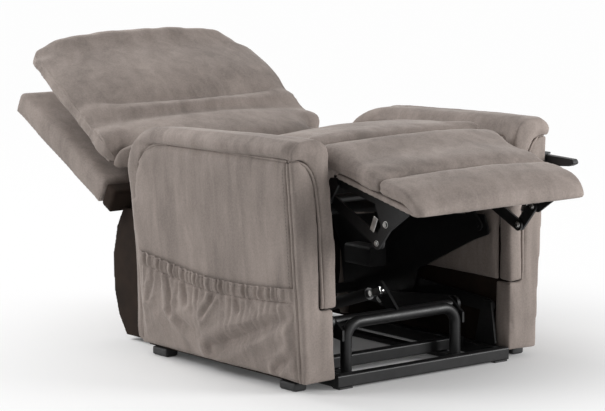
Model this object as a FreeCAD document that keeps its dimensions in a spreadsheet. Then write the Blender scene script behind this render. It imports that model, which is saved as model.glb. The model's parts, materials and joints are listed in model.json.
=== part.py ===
import FreeCAD, Part
import os
import re
import Sketcher
from FreeCAD import Vector

# Lift chair, reclined with its leg rest up. Sizes are in millimetres and degrees.
# The chair's own datum is the floor under the middle of the arms' front face: x runs to the
# sitter's left, y to the rear, z up. Every piece is then set back by datum_to_middle, so that
# the origin lies under the middle of the reclined chair.
SIZES = {
    "datum_to_middle": 502,
    # Arms
    "overall_width": 820, "arm_height": 597, "arm_depth": 684, "arm_gap": 22, "arm_taper": 38,
    "arm_inner_top": 291, "arm_inner_waist": 271, "arm_inner_foot": 274, "arm_waist_height": 304,
    "arm_rear_lean": 6, "arm_rear_height": 390, "arm_top_drop": 27, "arm_rear_radius": 120,
    "roll_outer_radius": 44, "roll_inner_radius": 52, "arm_front_radius": 10,
    "seam_height": 551, "roll_leg_edge": 312, "roll_leg_foot": 194, "side_padding": 18,
    "panel_inset": 7, "seam_rear_fall": 150,
    "inner_padding": 14, "front_padding": 24, "front_inset": 6, "front_return": 60,
    "core_rear_cut": 116, "rear_padding": 20,
    "pocket_height": 250, "pocket_dip": 16, "pocket_wall": 4, "pocket_mouth": 18,
    "pocket_front": 20, "pocket_rear": 656, "pocket_foot": 34,
    "foot_width": 38, "foot_length": 60, "foot_front": 78, "foot_rear": 606, "foot_inset": 343,
    # Floor base
    "base_half": 268, "rail_width": 28, "rail_height": 30, "glide_height": 4, "base_depth": 605,
    "inner_rail_height": 12, "hoop_half": 172, "tube_radius": 14, "hoop_y": 92, "hoop_height": 149,
    "hoop_bend": 40, "base_tube_y": 150,
    # Lift linkage
    "lift_y": 125, "lift_z": 135, "lift_tube_radius": 12, "carry_y": 404, "carry_z": 110,
    "lift_arm_x": 194, "lift_arm_thick": 8, "lift_arm_width": 40, "stab_base_y": 68,
    "stab_base_z": 130, "stab_chair_y": 520, "stab_chair_z": 160, "stab_slip": 6.4, "stab_x": 262,
    "stab_radius": 17,
    # Mechanism plates
    "plate_x": 254, "plate_thick": 6, "link_x": 244, "link_thick": 6, "link_radius": 14,
    "pin_radius": 6, "run_gap": 0.05, "clear_gap": 0.4,
    "front_link_y": 90.8, "front_link_z": 330.9, "front_lug_y": 161.5, "front_lug_z": 401.7,
    "rear_link_y": 457.8, "rear_link_z": 289.6, "rear_lug_y": 497.3, "rear_lug_z": 348.5,
    "rear_slip": 1.4, "rear_tube_y": 590, "rear_tube_z": 110, "recline_y": 700, "recline_z": 400,
    # Seat
    "seat_y": 82, "seat_z": 475, "seat_tilt": 9, "seat_half": 262, "seat_length": 522,
    "seat_rail_x": 206, "seat_rail_width": 30, "seat_rail_drop": 45, "seat_rail_height": 42,
    "seat_rail_start": 30, "webbing_width": 50, "webbing_thick": 3,
    # Leg rest
    "legrest_y": 45, "legrest_z": 488, "legrest_tilt": 12, "legrest_half": 257, "board_thick": 14,
    "board_drop": 13, "board_length": 318, "knee_lug_y": -133, "knee_lug_z": 405,
    "crank_y": 87, "crank_z": 439, "crank_tube_radius": 11, "crank_x": 212, "lever_reach": 55,
    # Back
    "back_tilt": 27.5, "back_half": 352, "shell_length": 455, "shell_thick": 66,
    "shell_start": 144, "shell_drop": 130, "back_rail": 42, "head_y": 875, "head_z": 451, "head_tilt": 32.5,
    "head_half": 350, "head_length": 482, "head_board": 12, "lumbar_half": 247,
    "back_lever": 90, "head_hinge_x": 200, "head_pin_radius": 7, "head_pin_drop": 13,
    # Actuators
    "motor_radius": 24, "rod_radius": 9, "rod_pin": 5, "tongue_thick": 8,
    "lift_anchor_y": 562, "lift_anchor_z": 62, "lift_lever": 70,
    "leg_anchor_y": 547, "leg_anchor_z": 341, "motor_offset": 95,
    "lift_lever_turn": 42, "back_lever_turn": -60.8, "leg_lever_turn": 224, "eye_slip": 9,
    "back_eye_slip": 6, "gear_length": 52, "rod_start": 78, "rod_end_gap": 32, "leg_retract": 75,
    # Rear cover and hand control
    "cover_half": 300, "cover_top": 330, "cover_front": 662, "cover_bulge": 900, "cover_wall": 4,
    "control_length": 150, "control_height": 26, "control_thick": 16, "control_y": -90,
    "control_z": 476, "button_travel": 1.5,
}

doc = FreeCAD.newDocument("LiftChair")
sheet = doc.addObject("Spreadsheet::Sheet", "Sizes")
for row, (alias, value) in enumerate(SIZES.items(), 1):
    sheet.set(f"A{row}", alias)
    sheet.set(f"B{row}", str(value))
    sheet.setAlias(f"B{row}", alias)
doc.recompute()

X_AXIS = Vector(1, 0, 0)
Y_AXIS = Vector(0, 1, 0)
pieces = []


def size(alias):
    return float(sheet.get(alias))


def cells(text):
    return re.sub(r"[a-z_]+", lambda w: f"Sizes.{w[0]}" if w[0] in SIZES else w[0], str(text))


def value(text):
    return float(sheet.evalExpression(cells(text)))


def bind(item, **links):
    for prop, text in links.items():
        item.setExpression(prop.replace("__", "."), cells(text))


def place(item, x="0", y="0", z="0", angle=None, axis=X_AXIS):
    """Set a piece at x, y, z from the chair's datum, turned by angle about axis."""
    if angle is not None:
        item.Placement = FreeCAD.Placement(Vector(), FreeCAD.Rotation(axis, 1))
        bind(item, Placement__Rotation__Angle=f"({angle}) * 1deg")
    bind(item, Placement__Base__x=x, Placement__Base__y=f"{y} - datum_to_middle", Placement__Base__z=z)
    return item


def keep(item, label):
    """Name a finished piece: the label is also its file's name."""
    item.Label = label
    pieces.append(item)
    return item


def made(label):
    return next(p for p in pieces if p.Label == label)


def outline(body, name, plane, points, holes=()):
    """A closed sketch through points, each given as two sheet expressions, with round holes."""
    sketch = body.newObject("Sketcher::SketchObject", name)
    sketch.AttachmentSupport = [(next(o for o in body.Origin.OriginFeatures if o.Role == plane), "")]
    sketch.MapMode = "FlatFace"
    spots = [(value(a), value(b)) for a, b in points]
    count = len(points)

    def pin_down(kind, element, corner, text):
        index = sketch.addConstraint(Sketcher.Constraint(kind, -1, 1, element, corner, value(text)))
        sketch.setExpression(f"Constraints[{index}]", cells(text))

    for i in range(count):
        sketch.addGeometry(Part.LineSegment(Vector(*spots[i]), Vector(*spots[(i + 1) % count])))
    for i in range(count):
        sketch.addConstraint(Sketcher.Constraint("Coincident", i, 2, (i + 1) % count, 1))
    for i, (a, b) in enumerate(points):
        pin_down("DistanceX", i, 1, a)
        pin_down("DistanceY", i, 1, b)
    for a, b, radius in holes:
        circle = Part.Circle(Vector(value(a), value(b)), Vector(0, 0, 1), value(radius))
        element = sketch.addGeometry(circle)
        index = sketch.addConstraint(Sketcher.Constraint("Radius", element, value(radius)))
        sketch.setExpression(f"Constraints[{index}]", cells(radius))
        pin_down("DistanceX", element, 3, a)
        pin_down("DistanceY", element, 3, b)
    return sketch


def pad(body, sketch, length, midplane=False):
    feature = body.newObject("PartDesign::Pad", sketch.Name + "Pad")
    feature.Profile = sketch
    bind(feature, Length=length)
    if midplane:
        feature.SideType = "Symmetric"
    doc.recompute()
    return feature


def round_edges(body, base, radius, chosen):
    """Fillet the straight edges of base that the test chosen(start, end) picks."""
    names = []
    for index, edge in enumerate(base.Shape.Edges, 1):
        ends = [v.Point for v in edge.Vertexes]
        if len(ends) == 2 and chosen(*ends):
            names.append(f"Edge{index}")
    feature = body.newObject("PartDesign::Fillet", base.Name + "Fillet")
    feature.Base = (base, names)
    bind(feature, Radius=radius)
    doc.recompute()
    return feature


def plate(name, points, thick, holes=(), corner=None):
    """A flat plate cut to an outline in the y, z plane, thick along x, with rounded corners."""
    body = doc.addObject("PartDesign::Body", name)
    block = pad(body, outline(body, name + "Outline", "YZ_Plane", points, holes), thick)
    if corner:
        spots = [Vector(0, value(a), value(b)) for a, b in points]

        def at_corner(start, end):
            flat = Vector(0, start.y, start.z)
            along = abs(start.x - end.x) > abs(start.y - end.y) + abs(start.z - end.z)
            return along and min((flat - s).Length for s in spots) < 0.01

        round_edges(body, block, corner, at_corner)
    return body


def link(name, start, end, radius, thick, start_bore, end_bore):
    """A flat bar with round ends between two pivots, each given as y and z expressions."""
    run = f"sqrt(({end[0]} - {start[0]})^2 + ({end[1]} - {start[1]})^2)"
    angle = f"atan2({end[1]} - {start[1]}; {end[0]} - {start[0]}) / 1deg"
    corners = [(f"-{radius}", f"-{radius}"), (f"{run} + {radius}", f"-{radius}"),
               (f"{run} + {radius}", radius), (f"-{radius}", radius)]
    holes = [h for h in (("0", "0", start_bore), (run, "0", end_bore)) if h[2]]
    body = plate(name, corners, thick, holes, f"{radius} * 0.96")
    return body, angle


def box(name, x, y, z, corner=None):
    """A block between pairs of sheet expressions, with its long edges rounded."""
    block = doc.addObject("Part::Box", name)
    bind(block, Length=f"{x[1]} - ({x[0]})", Width=f"{y[1]} - ({y[0]})", Height=f"{z[1]} - ({z[0]})")
    place(block, x[0], y[0], z[0])
    doc.recompute()
    if corner is None:
        return block
    lengths = {"x": value(x[1]) - value(x[0]), "y": value(y[1]) - value(y[0]), "z": value(z[1]) - value(z[0])}
    longest = max(lengths, key=lengths.get)
    rounded = doc.addObject("Part::Fillet", name + "Rounded")
    rounded.Base = block
    edges = []
    for index, edge in enumerate(block.Shape.Edges, 1):
        across = edge.Vertexes[1].Point - edge.Vertexes[0].Point
        if abs(getattr(across, longest)) > 0.9 * edge.Length:
            edges.append((index, value(corner), value(corner)))
    rounded.Edges = edges
    doc.recompute()
    return rounded


def rod(name, radius, start, end, y, z, bore=None):
    """A round bar along x between two sheet expressions, bored through where bore is given."""
    bar = doc.addObject("Part::Cylinder", name)
    bind(bar, Radius=radius, Height=f"{end} - ({start})")
    place(bar, start, y, z, "90", Y_AXIS)
    if not bore:
        return bar
    inside = doc.addObject("Part::Cylinder", name + "Bore")
    bind(inside, Radius=bore, Height=f"{end} - ({start})")
    place(inside, start, y, z, "90", Y_AXIS)
    return cut(name + "Tube", bar, inside)


def cut(name, base, tool):
    result = doc.addObject("Part::Cut", name)
    result.Base, result.Tool = base, tool
    doc.recompute()
    return result


def common(name, base, tool):
    result = doc.addObject("Part::Common", name)
    result.Base, result.Tool = base, tool
    doc.recompute()
    return result


def join(name, shapes):
    result = doc.addObject("Part::MultiFuse", name)
    result.Shapes = shapes
    doc.recompute()
    return result


def group(name, shapes):
    result = doc.addObject("Part::Compound", name)
    result.Links = shapes
    doc.recompute()
    return result


def mirrored(name, source):
    result = doc.addObject("Part::Mirroring", name)
    result.Source = source
    result.Normal = X_AXIS
    doc.recompute()
    return result


def both_sides(label, piece):
    """One node with a piece on the sitter's left and its mirror image on the right."""
    doc.recompute()
    return keep(group(label + "Pair", [piece, mirrored(label + "Right", piece)]), label)


# A padded form: crowned sections across x, from rear to front of its own tilted frame.
def cushion(name, stations, bulge):
    """Loft through stations of run, half width, underside, edge height and crown height."""
    sections = []
    for run, half, low, edge, crown in stations:
        middle = (low + edge) / 2

        def spot(x, z, run=run):
            return Vector(x, run, z)

        sections.append(Part.Wire([
            Part.LineSegment(spot(-half, low), spot(half, low)).toShape(),
            Part.Arc(spot(half, low), spot(half + bulge, middle), spot(half, edge)).toShape(),
            Part.Arc(spot(half, edge), spot(0, crown), spot(-half, edge)).toShape(),
            Part.Arc(spot(-half, edge), spot(-half - bulge, middle), spot(-half, low)).toShape()]))
    form = doc.addObject("Part::Feature", name)
    form.Shape = Part.makeLoft(sections, True, False)
    return form


# Arms: one tapered, rounded envelope, cut into the frame and its padded panels.
OUTER_SLOPE = "arm_taper / (arm_height - arm_gap)"


def outer_face(height):
    return f"(overall_width / 2 - (arm_height - {height}) * {OUTER_SLOPE})"


def side_face(height):
    """The side panel's outer face, which the roll overhangs."""
    return f"({outer_face(height)} - panel_inset)"


def arm_envelope():
    """The tapered front section run back along the falling top line, within the side outline."""
    section = [("arm_inner_foot", "arm_gap"), (outer_face("arm_gap"), "arm_gap"),
               (outer_face("arm_height"), "arm_height"), ("arm_inner_top", "arm_height"),
               ("arm_inner_top", "arm_height - 80"), ("arm_inner_waist", "arm_waist_height")]
    run = doc.addObject("PartDesign::Body", "ArmRun")
    block = pad(run, outline(run, "ArmSection", "XZ_Plane", section), "arm_depth")
    block.UseCustomVector = True
    block.Direction = Vector(0, size("arm_depth"), -size("arm_top_drop"))
    doc.recompute()

    def top_edge(x):
        high = size("arm_height") - 1
        return lambda a, b: abs(a.y - b.y) > 50 and abs(a.x - x) < 1 and max(a.z, b.z) > high

    rounded = round_edges(run, block, "roll_outer_radius", top_edge(size("overall_width") / 2))
    round_edges(run, rounded, "roll_inner_radius", top_edge(size("arm_inner_top")))
    place(run)
    side = doc.addObject("PartDesign::Body", "ArmSide")
    view = pad(side, outline(side, "ArmOutline", "YZ_Plane", [
        ("0", "arm_gap"), ("arm_depth - arm_rear_lean", "arm_gap"), ("arm_depth", "arm_rear_height"),
        ("arm_depth", "arm_height - arm_top_drop"), ("0", "arm_height")]), "overall_width")

    def rear_corner(a, b):
        return abs(a.x - b.x) > 50 and a.y > size("arm_depth") - 1 and a.z > size("arm_rear_height") + 1

    rounded = round_edges(side, view, "arm_rear_radius", rear_corner)
    round_edges(side, rounded, "arm_front_radius",
                lambda a, b: abs(a.x - b.x) > 50 and a.y < 1 and a.z > size("arm_height") - 1)
    place(side)
    doc.recompute()
    return common("ArmEnvelope", run, side)


def arm_core():
    body = doc.addObject("PartDesign::Body", "ArmCore")
    low, high = "arm_gap", "seam_height - 6"
    section = [("arm_inner_foot + inner_padding", low), (f"{outer_face(low)} - side_padding", low),
               (f"{outer_face('seam_height')} - side_padding", high),
               ("arm_inner_top + inner_padding", high),
               ("arm_inner_top + inner_padding", "arm_height - 80"),
               ("arm_inner_waist + inner_padding", "arm_waist_height")]
    block = pad(body, outline(body, "CoreSection", "XZ_Plane", section),
                "arm_depth - rear_padding - arm_rear_lean - front_padding")
    block.Reversed = True
    doc.recompute()
    rear = "arm_depth - rear_padding - arm_rear_lean - front_padding"
    corner = outline(body, "CoreRearCorner", "YZ_Plane", [
        (f"{rear} - core_rear_cut", f"{high} + 1"), (f"{rear} + 1", f"{high} + 1"),
        (f"{rear} + 1", f"{high} - core_rear_cut")])
    pocket = body.newObject("PartDesign::Pocket", "CoreRearCut")
    pocket.Profile = corner
    pocket.Type = "ThroughAll"
    pocket.SideType = "Symmetric"
    doc.recompute()
    place(body, y="front_padding")
    doc.recompute()
    return body


def crown_zone():
    """What lies above the side seam, which runs beside the top and falls away at the rear corner."""
    body = doc.addObject("PartDesign::Body", "CrownZone")
    rear, fall = "arm_depth", "seam_height - seam_rear_fall"
    pad(body, outline(body, "CrownSide", "YZ_Plane", [
        ("-50", "seam_height"), ("0", "seam_height"), (f"{rear} - 170", "seam_height - 3"),
        (f"{rear} - 118", f"{fall} * 0.07"), (f"{rear} - 78", f"{fall} * 0.19"),
        (f"{rear} - 49", f"{fall} * 0.37"), (f"{rear} - 31", f"{fall} * 0.6"),
        (f"{rear} - 23", f"{fall} * 0.84"), (f"{rear} - 20", fall), (f"{rear} + 50", fall),
        (f"{rear} + 50", "arm_height + 50"), ("-50", "arm_height + 50")]), "overall_width")
    return place(body)


def roll_leg_zone():
    """The roll's leg down the inner front edge, which turns out of the top in a curve."""
    body = doc.addObject("PartDesign::Body", "RollLegZone")
    edge, top = "roll_leg_edge", "seam_height"
    leg = pad(body, outline(body, "RollLegFront", "XZ_Plane", [
        ("0", "roll_leg_foot"), (edge, "roll_leg_foot"), (f"{edge} + 5", f"{top} - 200"),
        (f"{edge} + 11", f"{top} - 100"), (f"{edge} + 17", f"{top} - 62"), (f"{edge} + 28", f"{top} - 32"),
        (f"{edge} + 44", f"{top} - 12"), (f"{edge} + 64", top), ("0", top)]), "front_padding + 72")
    leg.Reversed = True
    return place(body, y="-50")


def overhang_zone():
    """The step by which the side and front panels stand back under the roll."""
    body = doc.addObject("PartDesign::Body", "OverhangZone")
    step = pad(body, outline(body, "OverhangFront", "XZ_Plane", [
        (side_face("0"), "0"), (side_face("arm_height"), "arm_height"),
        ("overall_width", "arm_height"), ("overall_width", "0")]), "arm_depth + 100")
    step.Reversed = True
    return place(body, y="-50")


def arms():
    far = "overall_width"
    envelope = arm_envelope()
    core = arm_core()
    shell = cut("ArmShell", envelope, core)
    roll_zone = join("RollZone", [crown_zone(), roll_leg_zone()])
    roll = common("ArmRoll", shell, roll_zone)
    rest = cut("ArmPanels", cut("ArmBelowRoll", shell, roll_zone), overhang_zone())
    middle = "(arm_inner_waist + overall_width / 2) / 2"
    front = join("FrontZone", [
        box("FrontFace", ("0", far), ("front_inset", "front_padding"), ("0", "arm_height")),
        box("FrontReturn", ("0", middle), ("front_padding", "front_return"), ("0", "roll_leg_foot"))])
    inner = box("InnerZone", ("0", middle), ("front_padding", "arm_depth - rear_padding - arm_rear_lean"),
                ("roll_leg_foot", "seam_height"))
    outer = join("OuterZone", [
        box("OuterFace", (middle, far), ("front_padding", "arm_depth + 50"), ("0", "seam_height")),
        box("RearFace", ("0", middle), ("arm_depth - rear_padding - arm_rear_lean", "arm_depth + 50"),
            ("0", "seam_height"))])
    side = common("ArmSidePanel", rest, outer)
    left = {"arm_frame": core, "arm_top_roll": roll,
            "arm_front_panel": common("ArmFront", rest, front),
            "arm_inner_panel": common("ArmInner", rest, inner),
            "arm_side_panel": side,
            "side_pocket": cut("PocketFit", side_pocket(), side)}
    for name, piece in left.items():
        keep(piece, "left_" + name)
        keep(mirrored(name + "Mirror", piece), "right_" + name)


def side_pocket():
    """A slack panel on the arm's outer side, sewn at its foot and ends and open at the top."""
    face_low, face_high = side_face("pocket_foot"), side_face("pocket_height")
    body = doc.addObject("PartDesign::Body", "PocketPanel")
    section = [(face_low, "pocket_foot"), (f"{face_low} + pocket_wall", "pocket_foot"),
               (f"{face_high} + pocket_mouth + pocket_wall", "pocket_height + 14"),
               (f"{face_high} + pocket_mouth", "pocket_height + 14"),
               (f"{face_low} + 1", "pocket_foot + 10")]
    wall = pad(body, outline(body, "PocketSection", "XZ_Plane", section), "pocket_rear - pocket_front")
    wall.Reversed = True
    doc.recompute()
    run = "(pocket_rear - pocket_front)"
    dip = outline(body, "PocketMouth", "YZ_Plane", [
        ("-1", "pocket_height + 2"), (f"{run} * 0.25", "pocket_height - pocket_dip * 0.7"),
        (f"{run} * 0.5", "pocket_height - pocket_dip"), (f"{run} * 0.75", "pocket_height - pocket_dip * 0.5"),
        (f"{run} + 1", "pocket_height + 13"), (f"{run} + 1", "pocket_height + 30"),
        ("-1", "pocket_height + 30")])
    mouth = body.newObject("PartDesign::Pocket", "PocketMouthCut")
    mouth.Profile = dip
    mouth.Type = "ThroughAll"
    mouth.SideType = "Symmetric"
    doc.recompute()
    place(body, y="pocket_front")
    ends = []
    for side, start in (("Front", "pocket_front"), ("Rear", "pocket_rear - pocket_wall")):
        end = doc.addObject("PartDesign::Body", f"Pocket{side}")
        pad(end, outline(end, f"Pocket{side}Section", "XZ_Plane", [
            (face_low, "pocket_foot"), (f"{face_low} + pocket_wall", "pocket_foot"),
            (f"{face_high} + pocket_mouth + pocket_wall", "pocket_height"), (face_high, "pocket_height")]),
            "pocket_wall").Reversed = True
        place(end, y=start)
        ends.append(end)
    doc.recompute()
    return join("PocketWhole", [body] + ends)


def feet():
    across = ("foot_inset - foot_width / 2", "foot_inset + foot_width / 2")
    pads = [box(f"Foot{i}", across, (f"{y} - foot_length / 2", f"{y} + foot_length / 2"),
                ("0", "arm_gap"), "5") for i, y in enumerate(("foot_front", "foot_rear"))]
    both_sides("arm_feet", group("FeetLeft", pads))


# Floor base
def floor_base():
    low, high = "glide_height", "(glide_height + rail_height)"
    side = ("base_half - rail_width", "base_half")
    across = ("-base_half", "base_half")
    between = ("rail_width", "base_depth - rail_width")
    keep(group("CrossRails", [
        box("FrontRail", across, ("0", "rail_width"), (low, high), "4"),
        box("RearRail", across, ("base_depth - rail_width", "base_depth"), (low, high), "4")]),
        "base_cross_rails")
    both_sides("base_long_rails", group("LongRailsLeft", [
        box("SideRail", side, between, (low, high), "4"),
        box("InnerRail", ("hoop_half - tube_radius", "hoop_half + tube_radius"), between,
            (low, "glide_height + inner_rail_height"))]))
    reach = "(base_half - rail_width)"
    floor = "(glide_height + inner_rail_height)"
    keep(box("CrossTube", (f"-{reach}", reach), ("base_tube_y - tube_radius", "base_tube_y + tube_radius"),
             (floor, f"{floor} + rail_height"), "4"), "base_cross_tube")
    glides = [box(f"Glide{i}", ("base_half - 44", "base_half - 4"), (y, f"{y} + 26"), ("0", low))
              for i, y in enumerate(("1", "base_depth - 27"))]
    both_sides("base_glides", group("GlidesLeft", glides))


def hoop():
    """The inverted-U tube that stands on the inner rails and carries the lift arms."""
    floor = "(glide_height + inner_rail_height)"
    leg = doc.addObject("Part::Cylinder", "HoopLeg")
    bind(leg, Radius="tube_radius", Height=f"hoop_height - tube_radius - hoop_bend - {floor}")
    place(leg, "hoop_half", "hoop_y", floor)
    bend = doc.addObject("Part::Torus", "HoopBend")
    bind(bend, Radius1="hoop_bend", Radius2="tube_radius", Angle3="90")
    place(bend, "hoop_half - hoop_bend", "hoop_y", "hoop_height - tube_radius - hoop_bend", "90")
    top = rod("HoopTop", "tube_radius", "-(hoop_half - hoop_bend)", "hoop_half - hoop_bend", "hoop_y",
              "hoop_height - tube_radius")
    doc.recompute()
    sides = [leg, bend, mirrored("HoopLegRight", leg), mirrored("HoopBendRight", bend)]
    keep(join("Hoop", sides + [top]), "lift_hoop")
    ear_x = "(hoop_half + tube_radius)"
    ear = plate("HoopEar", [("hoop_y - 12", "lift_z - 40"), ("lift_y + 6", "lift_z - 34"),
                            ("lift_y + 22", "lift_z - 14"), ("lift_y + 22", "lift_z + 12"),
                            ("lift_y + 10", "lift_z + 22"), ("hoop_y - 12", "lift_z - 14")],
                "6", [("lift_y", "lift_z", "lift_tube_radius + run_gap")])
    place(ear, ear_x)
    post = plate("StabiliserPost", [("stab_base_y - 34", "glide_height + rail_height"),
                                    ("stab_base_y + 44", "glide_height + rail_height"),
                                    ("stab_base_y + 16", "stab_base_z + 14"),
                                    ("stab_base_y - 16", "stab_base_z + 14")], "link_thick", (), "7")
    place(post, "stab_x - 2 - link_thick")
    pin = rod("StabiliserPin", "pin_radius", "stab_x - 2 - link_thick", "stab_x + link_thick + 2",
              "stab_base_y", "stab_base_z")
    left = group("PivotBracketsLeft", [ear, join("StabiliserPostWhole", [post, pin])])
    motor_ear = plate("LiftMotorEar", [
        ("lift_anchor_y - 12", "lift_anchor_z - 10"), ("base_depth - rail_width", "glide_height"),
        ("base_depth - rail_width", "lift_anchor_z + 12"),
        ("lift_anchor_y - 8", "lift_anchor_z + 12")],
        "6", [("lift_anchor_y", "lift_anchor_z", "rod_pin")])
    fork = anchor_fork("LiftMotorFork", motor_ear, "0", "lift_anchor_y", "lift_anchor_z")
    right = mirrored("PivotBracketsRight", left)
    keep(group("PivotBrackets", [left, right, fork]), "base_pivot_brackets")


def anchor_fork(name, ear, x, y, z):
    """Two ears each side of an actuator's tail, with the pin that joins them."""
    gap = "(tongue_thick / 2 + clear_gap)"
    place(ear, f"{x} + {gap}")
    twin = doc.addObject("Part::Feature", name + "Twin")
    doc.recompute()
    twin.Shape = ear.Shape.translated(Vector(-2 * value(gap) - 6, 0, 0))
    pin = rod(name + "Pin", "rod_pin", f"{x} - {gap} - 8", f"{x} + {gap} + 8", y, z)
    return join(name, [ear, twin, pin])


# Lift arms between the hoop and the chair's carrying tube
def lift_linkage():
    arm, angle = link("LiftArm", ("lift_y", "lift_z"), ("carry_y", "carry_z"), "(lift_arm_width / 2)",
                      "lift_arm_thick", None, "tube_radius + run_gap")
    both_sides("lift_arms", place(arm, "lift_arm_x", "lift_y", "lift_z", angle))
    tube = rod("LiftTube", "lift_tube_radius", "-lift_arm_x", "lift_arm_x", "lift_y", "lift_z")
    lever = lever_plate("LiftLever", "lift_lever", "lift_tube_radius", "eye_slip")
    place(lever, "tongue_thick / 2 + clear_gap", "lift_y", "lift_z", "lift_lever_turn")
    keep(join("LiftTubeWhole", [tube, lever]), "lift_torque_tube")
    bar, angle = link("StabiliserBar", ("stab_base_y", "stab_base_z"), ("stab_chair_y", "stab_chair_z"),
                      "stab_radius", "link_thick", "pin_radius + run_gap", "pin_radius + stab_slip")
    both_sides("stabiliser_links", place(bar, "stab_x", "stab_base_y", "stab_base_z", angle))


def lever_plate(name, reach, hub, slip):
    """A crank plate with a hub at its origin and an oversize eye for the actuator's pin."""
    eye = f"(rod_pin + {slip})"
    return plate(name, [(f"-{hub} - 1", f"-{hub} - 2"), (f"{reach} + {eye} + 7", f"-{eye} - 6"),
                        (f"{reach} + {eye} + 7", f"{eye} + 6"), (f"-{hub} - 1", f"{hub} + 2")],
                 "8", [(reach, "0", eye)], "9")


# Chair mechanism
def mechanism():
    body = plate("SidePlate", [
        ("front_link_y - 32", "front_link_z - 20"), ("front_link_y - 12", "front_link_z + 28"),
        ("rear_link_y - 38", "rear_link_z + 36"), ("recline_y - 64", "recline_z - 104"),
        ("recline_y - 30", "recline_z - 60"), ("recline_y - 30", "recline_z + 32"),
        ("recline_y + 32", "recline_z + 32"), ("recline_y + 36", "recline_z - 40"),
        ("rear_tube_y + 62", "rear_tube_z + 110"), ("rear_tube_y + 40", "rear_tube_z - 20"),
        ("rear_tube_y - 20", "rear_tube_z - 30"), ("carry_y + 28", "carry_z - 32"),
        ("carry_y - 32", "carry_z - 32"), ("carry_y - 74", "carry_z + 80"),
        ("front_link_y + 30", "front_link_z - 42")], "plate_thick",
        [("recline_y", "recline_z", "pin_radius + 2 + run_gap")], "12")
    place(body, "plate_x")
    pins = [rod(f"PlatePin{i}", "pin_radius", x[0], x[1], y, z) for i, (x, y, z) in enumerate((
        (("link_x - 3", "plate_x"), "front_link_y", "front_link_z"),
        (("link_x - 3", "plate_x"), "rear_link_y", "rear_link_z"),
        (("plate_x + plate_thick", "stab_x + link_thick + 2"), "stab_chair_y", "stab_chair_z")))]
    whole = join("SidePlateWhole", [body] + pins)
    keep(whole, "left_side_plate")
    keep(mirrored("SidePlateMirror", whole), "right_side_plate")
    both_sides("lift_carry_pins",
               rod("CarryPin", "tube_radius", "lift_arm_x - 6", "plate_x", "carry_y", "carry_z"))
    tube = rod("RearTube", "tube_radius", "-plate_x", "plate_x", "rear_tube_y", "rear_tube_z")
    ear = plate("BackMotorEar", [
        ("rear_tube_y - 16", "rear_tube_z + 6"), ("rear_tube_y + 16", "rear_tube_z + 6"),
        ("rear_tube_y + 18", "rear_tube_z + 40"), ("rear_tube_y - 4", "rear_tube_z + 40")], "6")
    fork = anchor_fork("BackMotorFork", ear, "-motor_offset", "rear_tube_y + 8", "rear_tube_z + 28")
    keep(join("RearTubeWhole", [tube, fork]), "rear_cross_tube")
    brackets = [cut(f"ArmBracketFit{i}", box(f"ArmBracket{i}", ("plate_x + plate_thick", "arm_inner_top"),
                                             (y, f"{y} + 60"), z), made("left_arm_frame"))
                for i, (y, z) in enumerate((("carry_y - 28", ("stab_chair_z + 14", "stab_chair_z + 30")),
                                            ("rear_tube_y - 44", ("rear_tube_z - 20", "rear_tube_z + 26"))))]
    both_sides("arm_brackets", group("ArmBracketsLeft", brackets))
    case = ("plate_x - 54", "plate_x"), ("rear_tube_y - 132", "rear_tube_y - 26"), ("182", "234")
    keep(box("PowerSupply", *case, "8"), "power_supply")
    keep(mirrored("ControlBoxMirror", box("ControlBox", ("plate_x - 40", "plate_x"), case[1], case[2], "8")),
         "control_box")


def swing_links():
    for label, start, end, slip in (
            ("seat_front_links", ("front_link_y", "front_link_z"), ("front_lug_y", "front_lug_z"), "run_gap"),
            ("seat_rear_links", ("rear_link_y", "rear_link_z"), ("rear_lug_y", "rear_lug_z"), "rear_slip")):
        bar, angle = link(label + "_bar", start, end, "link_radius", "link_thick", "pin_radius + run_gap",
                          f"pin_radius + {slip}")
        both_sides(label, place(bar, "link_x", *start, angle))


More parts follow.
